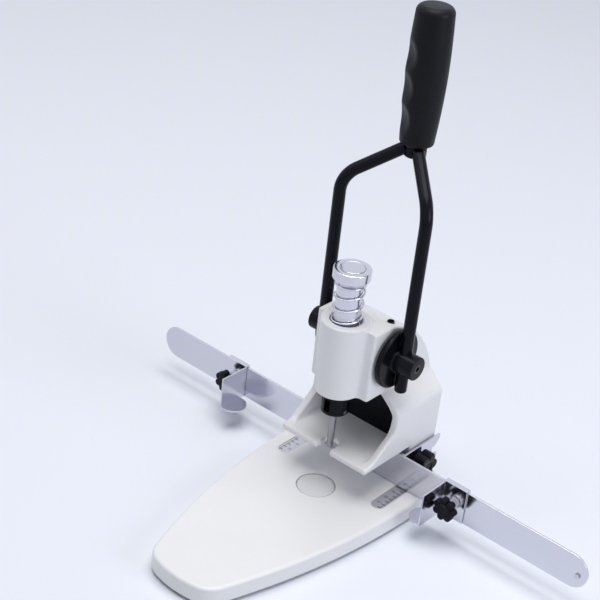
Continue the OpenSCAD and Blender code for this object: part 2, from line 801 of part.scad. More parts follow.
module pinion_shaft() {
    color(steel) difference() {
        round_x(-shaft_half_len, shaft_half_len, shaft_y, shaft_z, shaft_r);
        both_sides() round_z(shaft_z - shaft_r - past, shaft_z + shaft_r + past, rod_x, shaft_y, rod_r + seat_fit);
        both_sides() round_x(screw_start - past, shaft_half_len + past, shaft_y, shaft_z, hub_screw_r + seat_fit);
        block([-gear_w / 2, shaft_y - key_w / 2 - seat_fit, shaft_z + shaft_r - key_rise - 0.5],
              [gear_w / 2, shaft_y + key_w / 2 + seat_fit, shaft_z + shaft_r + past]);
    }
}

module pinion_key() {
    color(steel) block([-gear_w / 2, shaft_y - key_w / 2, shaft_z + shaft_r - key_rise - 0.5],
                       [gear_w / 2, shaft_y + key_w / 2, shaft_z + shaft_r + key_rise]);
}

// Half the angle of a tooth at a radius, on an involute flank
function involute(a) = tan(a) * 180 / PI - a;
function tooth_half(r) =
    let (base_r = pitch_r * cos(pressure_angle))
    90 / gear_teeth + involute(pressure_angle) - involute(acos(min(1, base_r / r)));

module pinion_gear() {
    radii = [gear_root_r, pitch_r * cos(pressure_angle), pitch_r - gear_module / 3, pitch_r, pitch_r + gear_module / 2, gear_r];
    flank = [for (r = radii) [r, tooth_half(r)]];
    last = len(radii) - 1;
    teeth = [for (i = [0 : gear_teeth - 1], j = [0 : 2 * last + 1])
        let (p = j <= last ? flank[j] : flank[2 * last + 1 - j],
             a = 360 * i / gear_teeth + (j <= last ? -p.y : p.y))
        [shaft_y + p.x * cos(a), shaft_z + p.x * sin(a)]];
    color(steel) difference() {
        slab_x(-gear_w / 2, gear_w / 2) polygon(teeth);
        round_x(-gear_w, gear_w, shaft_y, shaft_z, shaft_r + seat_fit);
        block([-gear_w, shaft_y - key_w / 2 - seat_fit, shaft_z],
              [gear_w, shaft_y + key_w / 2 + seat_fit, shaft_z + shaft_r + key_rise + seat_fit]);
    }
}

function hub_end(side) = boss_x + (side < 0 ? left_boss_len : boss_len);

module lever_hub(side) {
    lip = 1.5;
    disc = side < 0 ? left_hub_r : hub_r;
    color(black_steel) mirror([side < 0 ? 1 : 0, 0, 0]) difference() {
        union() {
            round_x(hub_x, boss_x - lip, shaft_y, shaft_z, disc);
            translate([boss_x - lip, shaft_y, shaft_z]) rotate([0, 90, 0]) cylinder(h = lip, r1 = disc, r2 = disc - lip);
            round_x(hub_x, hub_end(side), shaft_y, shaft_z, boss_r);
        }
        round_x(hub_x - past, shaft_half_len + 0.2, shaft_y, shaft_z, shaft_r + seat_fit);
        round_x(shaft_half_len, hub_end(side) + past, shaft_y, shaft_z, hub_screw_r + seat_fit);
        round_z(shaft_z - boss_r - past, shaft_z + boss_r + past, rod_x, shaft_y, rod_r + seat_fit);
    }
}

module hub_screws() {
    color(black_steel) for (side = [-1, 1]) mirror([side < 0 ? 1 : 0, 0, 0]) difference() {
        round_x(screw_start, hub_end(side) + 0.1, shaft_y, shaft_z, hub_screw_r);
        translate([hub_end(side) - hub_socket_depth, shaft_y, shaft_z]) rotate([0, 90, 0])
            cylinder(h = hub_socket_depth + past, r = 2.3, $fn = 6);
    }
}

// The right rod: up past the shaft, round its shoulder and in to the collar
module lever_rod_body() {
    tail_z = shaft_z - rod_tail;
    end_round = 1.4;
    translate([rod_x, shaft_y, 0]) rotate([0, 0, atan2(grip_back, -rod_x)]) {
        round_z(tail_z + end_round, bend_z, 0, 0, rod_r);
        translate([0, 0, tail_z]) cylinder(h = end_round, r1 = rod_r - end_round, r2 = rod_r);
        translate([0, 0, bend_z]) rod_core();
        translate([bend_r, 0, bend_z]) rotate([90, 0, 0]) rotate([0, 0, 180 - bend_turn])
            rotate_extrude(angle = bend_turn) translate([bend_r, 0]) circle(rod_r);
        translate([bend_r * (1 - cos(bend_turn)), 0, bend_z + bend_r * sin(bend_turn)]) rotate([0, bend_turn, 0]) {
            rod_core();
            cylinder(h = shoulder_len - rod_short, r = rod_r);
        }
    }
}

// A short slimmer core that runs through the seam between a straight stretch and the bend
module rod_core() {
    translate([0, 0, -2]) cylinder(h = 4, r = rod_r - 0.3);
}

module lever_rod(side) {
    color(black_steel) mirror([side < 0 ? 1 : 0, 0, 0]) lever_rod_body();
}

// The straight inner end of a rod, as the socket that it fits
module rod_socket() {
    translate([rod_x, shaft_y, bend_z]) rotate([0, 0, atan2(grip_back, -rod_x)])
        translate([bend_r * (1 - cos(bend_turn)), 0, bend_r * sin(bend_turn)]) rotate([0, bend_turn, 0])
            cylinder(h = shoulder_len - rod_short + seat_fit, r = rod_r + seat_fit);
}

module yoke_collar() {
    color(black_steel) difference() {
        round_z(collar_z, collar_top, 0, yoke_y, collar_r);
        both_sides() rod_socket();
        round_z(collar_z - past, collar_top + past, 0, yoke_y, grip_bolt_r + seat_fit);
    }
}

module grip_bolt() {
    color(steel) difference() {
        round_z(collar_z - 2, grip_z + grip_len - 14, 0, yoke_y, grip_bolt_r);
        translate([0, yoke_y, collar_z - 3]) cylinder(h = 3, r = 1.6, $fn = 6);
    }
}

// Radius of the grip at a height above its lower end
function grip_radius(h) =
    let (t = h / grip_len)
    grip_low_r + (grip_top_r - grip_low_r) * t + grip_swell * sin(180 * t);

module lever_grip() {
    crown_h = 5;
    low_round = 1.5;
    steps = 20;
    straight = grip_len - crown_h;
    top_r = grip_radius(straight);
    side = [for (i = [0 : steps]) let (h = low_round + (straight - low_round) * i / steps) [grip_radius(h), h]];
    crown = [for (a = [15 : 15 : 75]) [top_r - crown_h * (1 - cos(a)), straight + crown_h * sin(a)]];
    groove_r = 27;
    color(black_plastic) translate([0, yoke_y, grip_z]) difference() {
        rotate_extrude() polygon(concat(
            [[0, 0], [grip_low_r - low_round, 0]], side, crown, [[top_r - crown_h, grip_len], [0, grip_len]]));
        for (h = [0.17, 0.41, 0.655] * grip_len) rotate(-groove_turn)
            translate([0, groove_depth - groove_r - grip_radius(h), h])
                rotate([0, 90, 0]) cylinder(h = 4 * grip_top_r, r = groove_r, center = true);
        translate([0, 0, -past]) cylinder(h = grip_len - 12 + past, r = grip_bolt_r + seat_fit);
    }
}

module margin_bar() {
    mid_z = (bar_z + bar_top) / 2;
    color(chrome) difference() {
        slab_y(bar_front, bar_rear) {
            translate([-bar_half_len + bar_end_r, bar_z]) square([2 * (bar_half_len - bar_end_r), bar_h]);
            for (side = [-1, 1]) translate([side * (bar_half_len - bar_end_r), mid_z]) circle(bar_end_r);
        }
        round_y(bar_front - past, bar_rear + past, bar_half_len - pin_inset, pin_z, pin_r + seat_fit);
    }
}

module bar_end_pin() {
    color(steel) round_y(stop_front - 0.2, stop_rear + sheet_t, bar_half_len - pin_inset, pin_z, pin_r);
}

// An arm behind the bar, with a slot that is open at its rear end and a foot that is welded to the bar
module bar_arm(side) {
    arm_z = bar_z + 0.7;
    chamfer = 6;
    slot_low = clamp_height - arm_slot_w / 2;
    slot_high = clamp_height + arm_slot_w / 2;
    color(chrome) mirror([side < 0 ? 1 : 0, 0, 0]) {
        difference() {
            slab_x(arm_x, arm_outer) polygon([
                [bar_rear, arm_z], [arm_end - 1, arm_z], [arm_end - 1, slot_low], [arm_end, slot_high],
                [arm_end, bar_top], [bar_rear, bar_top]]);
            slab_x(arm_x - past, arm_outer + past) {
                translate([slot_front + arm_slot_w / 2, slot_low]) square([arm_len, arm_slot_w]);
                translate([slot_front + arm_slot_w / 2, clamp_height]) circle(arm_slot_w / 2);
                polygon([[arm_end - chamfer, slot_high - past], [arm_end + past, slot_high - past],
                         [arm_end + past, slot_high + chamfer], [arm_end, slot_high + chamfer], [arm_end - chamfer, slot_high]]);
            }
        }
        block([arm_x - 12, bar_rear, arm_z], [arm_x + past, bar_rear + arm_t, bar_top]);
    }
}

module clamp_knob(side) {
    color(black_plastic) mirror([side < 0 ? 1 : 0, 0, 0]) {
        translate([0, clamp_y, clamp_height]) rotate([90, 0, 90]) translate([0, 0, clamp_knob_x]) difference() {
            union() {
                linear_extrude(clamp_knob_t) star(clamp_knob_r, 6);
                translate([0, 0, -knob_collar]) cylinder(h = knob_collar + past, r = 6.5);
            }
            translate([0, 0, -knob_collar - past]) cylinder(h = clamp_knob_t - 2 + knob_collar, r = clamp_screw_r + seat_fit);
        }
    }
}

module clamp_screw(side) {
    color(steel) mirror([side < 0 ? 1 : 0, 0, 0])
        round_x(body_half_w - clamp_hole_depth + 1, clamp_knob_x + clamp_knob_t - 3.5, clamp_y, clamp_height, clamp_screw_r);
}

// Everything on a side stop is drawn for the right, from its inner face outwards
function stop_x(side) = side < 0 ? stop_left_x : stop_right_x;

module on_stop(side) {
    mirror([side < 0 ? 1 : 0, 0, 0]) translate([stop_x(side), 0, 0]) children();
}

module side_stop(side) {
    flange_front = stop_front + sheet_t - flange_len;
    tab_y = flange_front + tab_r;
    color(chrome) on_stop(side) difference() {
        union() {
            block([0, stop_front, stop_z], [clip_w, stop_front + sheet_t, fold_z + sheet_t]);
            block([0, stop_front, fold_z], [clip_w, stop_rear + sheet_t, fold_z + sheet_t]);
            block([0, stop_rear, bar_z + 10], [clip_w, stop_rear + sheet_t, fold_z + sheet_t]);
            block([0, flange_front, flange_z], [sheet_t, stop_front + sheet_t, bar_top + 0.5]);
            slab_z(flange_z, flange_z + sheet_t) difference() {
                union() {
                    translate([-tab_reach, tab_y]) circle(tab_r);
                    translate([-tab_reach, tab_y - tab_r]) square([tab_reach + sheet_t, 2 * tab_r]);
                }
                translate([sheet_t, tab_y - 2 * tab_r]) square([2 * tab_r, 4 * tab_r]);
            }
        }
        round_y(stop_front - past, stop_front + sheet_t + 0.1, stop_screw_x, stop_screw_z, stop_screw_r + loose_fit);
    }
}

module stop_nut(side) {
    color(steel) on_stop(side) difference() {
        translate([stop_screw_x, stop_front, stop_screw_z]) rotate([90, 0, 0]) cylinder(h = stop_nut_t, r = 5, $fn = 6);
        round_y(stop_front - stop_nut_t - past, stop_front + past, stop_screw_x, stop_screw_z, stop_screw_r + run_fit);
    }
}

module stop_knob(side) {
    color(black_plastic) on_stop(side) translate([stop_screw_x, stop_knob_y, stop_screw_z]) rotate([90, 0, 0]) difference() {
        union() {
            linear_extrude(stop_knob_t) star(stop_knob_r, 7);
            cylinder(h = stop_knob_t + 1.5, r = stop_knob_r * 0.55);
        }
        translate([0, 0, -past]) cylinder(h = stop_knob_t - 2 + past, r = stop_screw_r + seat_fit);
    }
}

module stop_screw(side) {
    color(steel) on_stop(side)
        round_y(stop_knob_y - stop_knob_t + 2.5, stop_front + sheet_t, stop_screw_x, stop_screw_z, stop_screw_r);
}

base_plate();
bottom_cover();
rubber_feet();
cover_screws();
scale_plate(-window_x);  // scale_plate_left
scale_plate(window_x);  // scale_plate_right
disc_spindle();
head_casting();
head_bolts();
chamber_panel();
rear_cover();
rear_cover_screws();
shaft_bush(-1);  // shaft_bush_left
shaft_bush(1);  // shaft_bush_right
bush_lock_screws();
lower_bush();
spring_seat();
cutting_disc();
plunger();
plunger_cap();
cap_disc();
return_spring();
punch_holder();
holder_screw();
punch_bit();
pinion_shaft();
pinion_gear();
pinion_key();
lever_hub(-1);  // lever_hub_left
lever_hub(1);  // lever_hub_right
hub_screws();
lever_rod(-1);  // lever_rod_left
lever_rod(1);  // lever_rod_right
yoke_collar();
grip_bolt();
lever_grip();
margin_bar();
bar_arm(-1);  // bar_arm_left
bar_arm(1);  // bar_arm_right
bar_end_pin();
clamp_knob(-1);  // clamp_knob_left
clamp_knob(1);  // clamp_knob_right
clamp_screw(-1);  // clamp_screw_left
clamp_screw(1);  // clamp_screw_right
side_stop(-1);  // side_stop_left
side_stop(1);  // side_stop_right
stop_nut(-1);  // stop_nut_left
stop_nut(1);  // stop_nut_right
stop_knob(-1);  // stop_knob_left
stop_knob(1);  // stop_knob_right
stop_screw(-1);  // stop_screw_left
stop_screw(1);  // stop_screw_right
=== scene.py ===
# %% [markdown]
# A bench-top single hole punch, dressed for a picture and for reuse.
# The exact solids of the machine come in first as a fixed frame, and nothing below moves them.
# Each step takes one piece of the machine, says what it is on the real thing, and works its
# surface out from a few measures. Sizes are in millimetres until a mesh is made, because that is
# how such a machine is drawn, and only the last step of each mesh turns them into metres.

# %% Load the solid model
import json

import bmesh
import bpy
import numpy as np
from mathutils import Matrix, Vector


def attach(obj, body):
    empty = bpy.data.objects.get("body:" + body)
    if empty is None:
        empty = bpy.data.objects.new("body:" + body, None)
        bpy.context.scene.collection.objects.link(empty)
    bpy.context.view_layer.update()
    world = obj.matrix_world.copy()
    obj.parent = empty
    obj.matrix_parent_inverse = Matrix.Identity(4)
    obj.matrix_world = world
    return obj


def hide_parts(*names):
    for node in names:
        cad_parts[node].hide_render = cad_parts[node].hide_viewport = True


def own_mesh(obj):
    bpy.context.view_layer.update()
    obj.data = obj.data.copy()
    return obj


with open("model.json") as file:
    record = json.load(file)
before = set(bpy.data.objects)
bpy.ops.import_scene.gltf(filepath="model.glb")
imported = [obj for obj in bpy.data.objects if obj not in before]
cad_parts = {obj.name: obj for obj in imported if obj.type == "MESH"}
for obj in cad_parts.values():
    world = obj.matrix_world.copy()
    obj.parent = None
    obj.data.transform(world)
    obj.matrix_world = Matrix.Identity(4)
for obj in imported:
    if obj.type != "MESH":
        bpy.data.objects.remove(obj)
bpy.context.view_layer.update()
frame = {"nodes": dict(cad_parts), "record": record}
MM = 0.001

# %% [markdown]
# The camera stands where the photographer stood: about 1.17 m from the machine, 38 degrees to its
# right, 30 degrees above the table, with the picture tipped by 6 degrees. The lens is a long one,
# which keeps the sides of the machine nearly parallel.

# %% Camera
def placed(name, data):
    """A new object with the given data, linked into the scene."""
    thing = bpy.data.objects.new(name, data)
    bpy.context.scene.collection.objects.link(thing)
    return thing


VIEW_TARGET = Vector((-0.0469, 0.0, 0.1670))
VIEW_DISTANCE = 1.1686
view_turn, view_rise, view_tip = np.radians([37.95, 29.83, 6.42])
SENSOR_WIDTH = 36.0
FOCAL_IN_WIDTHS = 2.4718


def camera_axes(turn, rise, tip):
    """Right, up and backward directions of a camera: first level at its turn and rise, then tipped
    about its own line of sight."""
    back = Vector((np.sin(turn) * np.cos(rise), -np.cos(turn) * np.cos(rise), np.sin(rise)))
    level_right = Vector((np.cos(turn), np.sin(turn), 0))
    level_up = back.cross(level_right)
    right = level_right * np.cos(tip) + level_up * np.sin(tip)
    return right, back.cross(right), back


right, up, back = camera_axes(view_turn, view_rise, view_tip)
camera_data = bpy.data.cameras.new("photo_camera")
camera_data.sensor_width = SENSOR_WIDTH
camera_data.lens = FOCAL_IN_WIDTHS * SENSOR_WIDTH
camera = placed("photo_camera", camera_data)
axes = Matrix((right, up, back)).transposed().to_4x4()
camera.matrix_world = Matrix.Translation(VIEW_TARGET + back * VIEW_DISTANCE) @ axes
bpy.context.scene.camera = camera
print("camera lens", round(camera_data.lens, 1), "mm")

# %% [markdown]
# The light is that of a plain white studio: a wide soft lamp overhead does most of the work, so
# that level faces come out nearly white and upright ones fall back to a cool grey. A lower one on
# the right lights the head's side, and a weak one high on the left brings out the round forms.

# %% Light
def soft_lamp(name, place, aim, side, watts, colour):
    """A square lamp of the given side at a place in metres, turned to its aim."""
    data = bpy.data.lights.new(name, "AREA")
    data.shape = "SQUARE"
    data.size = side
    data.energy = watts
    data.color = colour
    lamp = placed(name, data)
    lamp.location = place
    lamp.rotation_euler = (Vector(aim) - Vector(place)).to_track_quat("-Z", "Y").to_euler()


soft_lamp("top_lamp", (0.0, 0.0, 3.4), (0, 0, 0.1), 2.7, 96, (1.0, 0.99, 0.975))
soft_lamp("left_lamp", (-1.1, -0.8, 1.5), (0, 0, 0.1), 0.7, 2, (1.0, 0.985, 0.96))
soft_lamp("right_lamp", (1.5, 0.1, 0.7), (0, 0, 0.15), 0.7, 7, (0.90, 0.91, 1.0))

world = bpy.data.worlds.new("studio")
bpy.context.scene.world = world
world.use_nodes = True
studio = world.node_tree
studio.nodes.clear()
path = studio.nodes.new("ShaderNodeLightPath")
seen = studio.nodes.new("ShaderNodeMath")
seen.operation = "MAXIMUM"
studio.links.new(path.outputs["Is Camera Ray"], seen.inputs[0])
studio.links.new(path.outputs["Is Glossy Ray"], seen.inputs[1])
room = studio.nodes.new("ShaderNodeBackground")
room.inputs["Color"].default_value = (0.74, 0.77, 0.95, 1)
room.inputs["Strength"].default_value = 0.27
backdrop = studio.nodes.new("ShaderNodeBackground")
backdrop.inputs["Color"].default_value = (0.86, 0.90, 0.98, 1)
pick = studio.nodes.new("ShaderNodeMixShader")
sky = studio.nodes.new("ShaderNodeOutputWorld")
studio.links.new(seen.outputs[0], pick.inputs["Fac"])
studio.links.new(room.outputs[0], pick.inputs[1])
studio.links.new(backdrop.outputs[0], pick.inputs[2])
studio.links.new(pick.outputs[0], sky.inputs["Surface"])
bpy.context.scene.view_settings.view_transform = "Standard"

# %% [markdown]
# Every mesh below is written in one go from numpy arrays. A grid of points is skinned with quads
# between neighbours, its ends are closed with fans, and a closed mesh whose volume comes out
# negative has its faces turned, so that they all point outwards.

# %% Meshes from arrays
def signed_volume(points, faces):
    """Sum over the faces of the tetrahedra that they make with the origin; a quad counts as two
    triangles. It is positive where the faces point outwards."""
    corners = points[faces]
    total = np.einsum("ij,ij->", corners[:, 0], np.cross(corners[:, 1], corners[:, 2]))
    if faces.shape[1] == 4:
        total += np.einsum("ij,ij->", corners[:, 0], np.cross(corners[:, 2], corners[:, 3]))
    return total / 6


def solid_piece(name, points, quads, fans=None, crease=35):
    """A mesh object from points in millimetres, with its place in the mesh. Edges sharper than the
    crease angle stay sharp in the shading."""
    points = np.asarray(points, float).reshape(-1, 3)
    groups = [np.asarray(g, int) for g in (quads, fans) if g is not None and len(g)]
    middle = points.mean(0)
    if sum(signed_volume(points - middle, g) for g in groups) < 0:
        groups = [g[:, ::-1] for g in groups]
    corners = np.concatenate([g.ravel() for g in groups])
    sizes = np.concatenate([np.full(len(g), g.shape[1]) for g in groups])
    mesh = bpy.data.meshes.new(name)
    mesh.vertices.add(len(points))
    mesh.vertices.foreach_set("co", (points * MM).ravel())
    mesh.loops.add(len(corners))
    mesh.loops.foreach_set("vertex_index", corners)
    mesh.polygons.add(len(sizes))
    mesh.polygons.foreach_set("loop_start", np.concatenate([[0], np.cumsum(sizes)[:-1]]))
    mesh.update(calc_edges=True)
    mesh.validate()
    mesh.shade_smooth()
    mesh.set_sharp_from_angle(angle=np.radians(crease))
    return placed(name, mesh)


def grid_faces(rows, columns, wrap_columns):
    """Quads between the neighbours of a grid whose point (i, j) has the number i * columns + j.
    The last row is always joined to the first."""
    i = np.arange(rows)[:, None]
    j = np.arange(columns if wrap_columns else columns - 1)[None, :]
    next_i, next_j = (i + 1) % rows, (j + 1) % columns
    corners = [i * columns + j, next_i * columns + j, next_i * columns + next_j, i * columns + next_j]
    return np.stack(np.broadcast_arrays(*corners), -1).reshape(-1, 4)


def end_fan(ring, hub):
    """Triangles from each side of a closed ring of point numbers to one hub point."""
    return np.stack([ring, np.roll(ring, -1), np.full(len(ring), hub)], -1)


def skinned(name, grid, ring_profile=False, crease=35):
    """A solid from a grid of points whose rows run round it. Where the profile isn't a ring
    itself, the first and last columns are closed with a fan to their middle point."""
    rows, columns = grid.shape[:2]
    points = grid.reshape(-1, 3)
    quads = grid_faces(rows, columns, ring_profile)
    if ring_profile:
        return solid_piece(name, points, quads, crease=crease)
    ends = np.stack([grid[:, 0].mean(0), grid[:, -1].mean(0)])
    first = np.arange(rows) * columns
    low = end_fan(first[::-1], rows * columns)
    high = end_fan(first + columns - 1, rows * columns + 1)
    fans = np.concatenate([low, high])
    return solid_piece(name, np.concatenate([points, ends]), quads, fans, crease)


# %% [markdown]
# Turned parts come from one profile of radius against height. Corners of a profile are rounded
# with short arcs, because a real edge is never sharp and its rounding is what catches the light.

# %% Rounded profiles and turned parts
def rounded(points, radii, steps=5):
    """A line through the points whose inner corners are replaced by arcs of the given radii. The
    arc touches both sides at radius / tan(half the corner's angle) from the corner."""
    points = np.asarray(points, float)
    line = [points[0]]
    for before, corner, after, radius in zip(points, points[1:], points[2:], radii):
        a = (before - corner) / np.linalg.norm(before - corner)
        b = (after - corner) / np.linalg.norm(after - corner)
        half = np.arccos(np.clip(a @ b, -1, 1)) / 2
        reach = radius / np.tan(half)
        centre = corner + (a + b) / np.linalg.norm(a + b) * radius / np.sin(half)
        start, stop = corner + a * reach - centre, corner + b * reach - centre
        sweep = np.arccos(np.clip(start @ stop / radius**2, -1, 1))
        t = np.linspace(0, 1, steps + 1)[:, None]
        line.extend(centre + (np.sin((1 - t) * sweep) * start + np.sin(t * sweep) * stop) / np.sin(sweep))
    line.append(points[-1])
    return np.array(line)


def turned(name, profile, centre, axis="z", sides=96, ring=False):
    """A profile of (radius, height) carried round an axis through the centre. Height runs along
    the axis, and a ring profile closes on itself round a bore."""
    angle = np.linspace(0, 2 * np.pi, sides, endpoint=False)[:, None]
    radius, height = profile[None, :, 0], profile[None, :, 1]
    across = radius * np.cos(angle)
    over = radius * np.sin(angle)
    along = np.broadcast_to(height, across.shape)
    order = {"z": (across, over, along), "x": (along, across, over), "y": (over, along, across)}[axis]
    grid = np.stack(order, -1) + np.asarray(centre, float)
    return skinned(name, grid, ring_profile=ring)


def dress(piece, body, slot_name, node):
    """Gives a piece its finish, the body it moves with and the solid that it stands for."""
    piece.data.materials.clear()
    piece.data.materials.append(finish[slot_name])
    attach(piece, body)
    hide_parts(node)


# %% [markdown]
# The head is one iron casting: a tall block with a round nose in front, sloping shoulders, a foot
# plate, two low walls beside the open chamber and a hollow pillar. A casting has no sharp edge
# anywhere, and its pieces run into each other with fillets. So it is described as a distance field:
# a function that is negative inside the metal and grows by one per millimetre on the way out.
# Joining two fields with a soft minimum leaves a fillet, and a soft maximum rounds an edge.

# %% Distance fields
def soft_max(a, b, width):
    """The larger of a and b, raised by (width - |a - b|)^2 / (4 width) where they are closer than
    the width. On two faces at a right angle it rounds the edge to a radius of about 0.85 width."""
    return np.maximum(a, b) + np.maximum(width - np.abs(a - b), 0) ** 2 / (4 * width)


def soft_min(a, b, width):
    """The smaller of a and b, with a fillet where they meet."""
    return -soft_max(-a, -b, width)


def outline_distance(u, v, corners):
    """Distance from each point (u, v) to the nearest side of a closed outline, negative inside. A
    point is inside where a ray from it crosses the outline an odd number of times."""
    u, v = np.broadcast_arrays(u, v)
    nearest, inside = np.full(u.shape, np.inf), np.zeros(u.shape, bool)
    for (au, av), (bu, bv) in zip(corners, np.roll(corners, -1, axis=0)):
        side_u, side_v = bu - au, bv - av
        t = ((u - au) * side_u + (v - av) * side_v) / (side_u**2 + side_v**2)
        t = np.clip(t, 0, 1)
        nearest = np.minimum(nearest, (u - au - t * side_u) ** 2 + (v - av - t * side_v) ** 2)
        crosses = (av > v) != (bv > v)
        with np.errstate(divide="ignore", invalid="ignore"):
            inside ^= crosses & (u < au + (v - av) * side_u / side_v)
    return np.where(inside, -1.0, 1.0) * np.sqrt(nearest)


def slab(t, low, high):
    """Distance to a slab between two planes across t."""
    return np.abs(t - (low + high) / 2) - (high - low) / 2


def box_field(x, y, z, low, high):
    """Distance to a box, exact inside it and on its faces."""
    across = np.maximum(slab(x, low[0], high[0]), slab(y, low[1], high[1]))
    return np.maximum(across, slab(z, low[2], high[2]))


# %% [markdown]
# A field becomes a mesh with a surface net. Space is cut into small cells. Each cell that the
# surface passes gets one point, at the mean of the places where the surface cuts the cell's edges,
# and each cut edge gets a quad between the four cells around it. Then each point slides along the
# field's slope onto the surface, and the slope there is kept as the mesh's normal, so that the
# small fillets shade as smoothly as the field itself.

# %% Surface net
def slope_of(field, points, reach=0.04):
    """Slope of a field at points, from central differences: (f(p + h) - f(p - h)) / 2h per axis."""
    slope = np.empty_like(points)
    for axis in range(3):
        ahead, behind = points.copy(), points.copy()
        ahead[:, axis] += reach
        behind[:, axis] -= reach
        slope[:, axis] = (field(*ahead.T) - field(*behind.T)) / (2 * reach)
    return slope


def surface_net(name, field, low, high, step):
    """Mesh object of the surface on which the field is zero, inside a box."""
    low, high = np.asarray(low, float), np.asarray(high, float)
    counts = np.ceil((high - low) / step).astype(int) + 1
    ticks = [low[a] + step * np.arange(counts[a]) for a in range(3)]
    values = field(ticks[0][:, None, None], ticks[1][None, :, None], ticks[2][None, None, :])
    values = np.broadcast_to(values, counts)
    cells = tuple(counts - 1)
    total, hits, quads = np.zeros(cells + (3,)), np.zeros(cells), []
    for axis in range(3):
        first = np.take(values, range(counts[axis] - 1), axis)
        second = np.take(values, range(1, counts[axis]), axis)
        edges = np.argwhere((first < 0) != (second < 0))
        a, b = first[tuple(edges.T)], second[tuple(edges.T)]
        cut = edges.astype(float)
        cut[:, axis] += a / (a - b)
        near, far = (axis + 1) % 3, (axis + 2) % 3
        around = []
        for back_near, back_far in ((1, 1), (0, 1), (0, 0), (1, 0)):
            cell = edges.copy()
            cell[:, near] -= back_near
            cell[:, far] -= back_far
            np.add.at(total, tuple(cell.T), cut)
            np.add.at(hits, tuple(cell.T), 1)
            around.append(np.ravel_multi_index(cell.T, cells))
        ring = np.stack(around, -1)
        quads.append(np.where((a < 0)[:, None], ring, ring[:, ::-1]))
    used = hits.ravel() > 0
    number = np.cumsum(used) - 1
    points = low + step * total.reshape(-1, 3)[used] / hits.ravel()[used][:, None]
    for _ in range(4):
        slope = slope_of(field, points)
        steepness = np.maximum(np.einsum("ij,ij->i", slope, slope), 0.2)
        shift = (field(*points.T) / steepness)[:, None] * slope
        points -= np.clip(shift, -0.35 * step, 0.35 * step)
    piece = solid_piece(name, points, number[np.concatenate(quads)], crease=180)
    slope = slope_of(field, points)
    slope /= np.maximum(np.linalg.norm(slope, axis=1, keepdims=True), 1e-9)
    piece.data.normals_split_custom_set_from_vertices(slope)
    print(name, len(points), "points")
    return piece


# %% [markdown]
# Measures of the head, in millimetres from the table and from the punch's axis. The side view
# gives the plate, the block and the curved back, and the front view gives the shoulders.

# %% Head casting
BASE_TOP, PLATE_Z, FLOOR_Z = 18.0, 50.0, 55.0
SHOULDER_Z, BLOCK_Z, SHAFT_Z, BLOCK_TOP, NOSE_TOP = 90.0, 107.5, 140.5, 168.5, 172.0
SHAFT_Y, GEAR_HOLLOW, GEAR_HALF = 27.0, 24.4, 8.7
PLUNGER_BORE, BUSH_BORE, SPRING_BORE = 10.4, 13.5, 12.95
CLAMP_Y, CLAMP_Z, LOCK_X, LOCK_Y = 58.0, 34.0, 20.8, 30.5
HEAD_HALF, BLOCK_HALF, CHAMBER_HALF = 44.3, 29.0, 38.0
PLATE_FRONT, BLOCK_FRONT, WALL_FRONT, PILLAR_FRONT, HEAD_REAR = -9.0, 1.0, 26.0, 50.0, 86.5


def arc_points(centre, radius, start, stop, steps):
    """Points on an arc, from one angle to another in degrees."""
    angle = np.radians(np.linspace(start, stop, steps + 1))
    return np.stack([centre[0] + radius * np.cos(angle), centre[1] + radius * np.sin(angle)], -1)


def back_curve():
    """The head's back in side view: a tight arc off the flat top and a wide one down to the rear."""
    tight, broad, turn = 58.0, 97.0, 35.9
    crown = np.array([16.0, BLOCK_TOP - tight])
    wide = crown + (tight - broad) * np.array([np.sin(np.radians(turn)), np.cos(np.radians(turn))])
    last = np.degrees(np.arcsin((HEAD_REAR - wide[0]) / broad))
    upper = arc_points(crown, tight, 90, 90 - turn, 10)
    return np.concatenate([upper, arc_points(wide, broad, 90 - turn, 90 - last, 12)[1:]])


def both_halves(half):
    """A closed outline from its right half."""
    half = np.asarray(half, float)
    return np.concatenate([half, half[::-1] * [-1, 1]])


HULL_VIEW = np.concatenate([
    [[HEAD_REAR, BASE_TOP], [PILLAR_FRONT, BASE_TOP], [PILLAR_FRONT, PLATE_Z], [PLATE_FRONT, PLATE_Z],
     [PLATE_FRONT, BLOCK_TOP]], back_curve()])
MIDDLE_VIEW = np.array([
    [150, -20], [-60, -20], [-60, FLOOR_Z], [WALL_FRONT, FLOOR_Z], [WALL_FRONT, BLOCK_Z + 2],
    [BLOCK_FRONT, BLOCK_Z + 2], [BLOCK_FRONT, 300], [150, 300]])
BLOCK_VIEW = np.concatenate([
    [[HEAD_REAR, SHOULDER_Z], [BLOCK_FRONT, SHOULDER_Z], [BLOCK_FRONT, BLOCK_TOP]], back_curve()])
FRONT_VIEW = both_halves([
    [HEAD_HALF, 0], [HEAD_HALF, SHOULDER_Z - 1], [HEAD_HALF - 0.5, SHOULDER_Z + 1.4],
    [HEAD_HALF - 2.6, SHOULDER_Z + 4.7], [HEAD_HALF - 3.9, SHOULDER_Z + 6.2],
    [BLOCK_HALF + 1.6, BLOCK_Z - 1.4], [BLOCK_HALF + 0.4, BLOCK_Z + 0.2], [BLOCK_HALF, BLOCK_Z + 1.6],
    [BLOCK_HALF, 200]])
CHAMBER_VIEW = both_halves([
    [34.6, FLOOR_Z], [36.6, 55.45], [37.65, 56.6], [CHAMBER_HALF, 58.4], [CHAMBER_HALF, 86.2],
    [37.6, 88.2], [36.2, 90.5], [33.2, 94.1], [26.0, 100.2], [24.6, 101.2], [22.6, 101.8]])


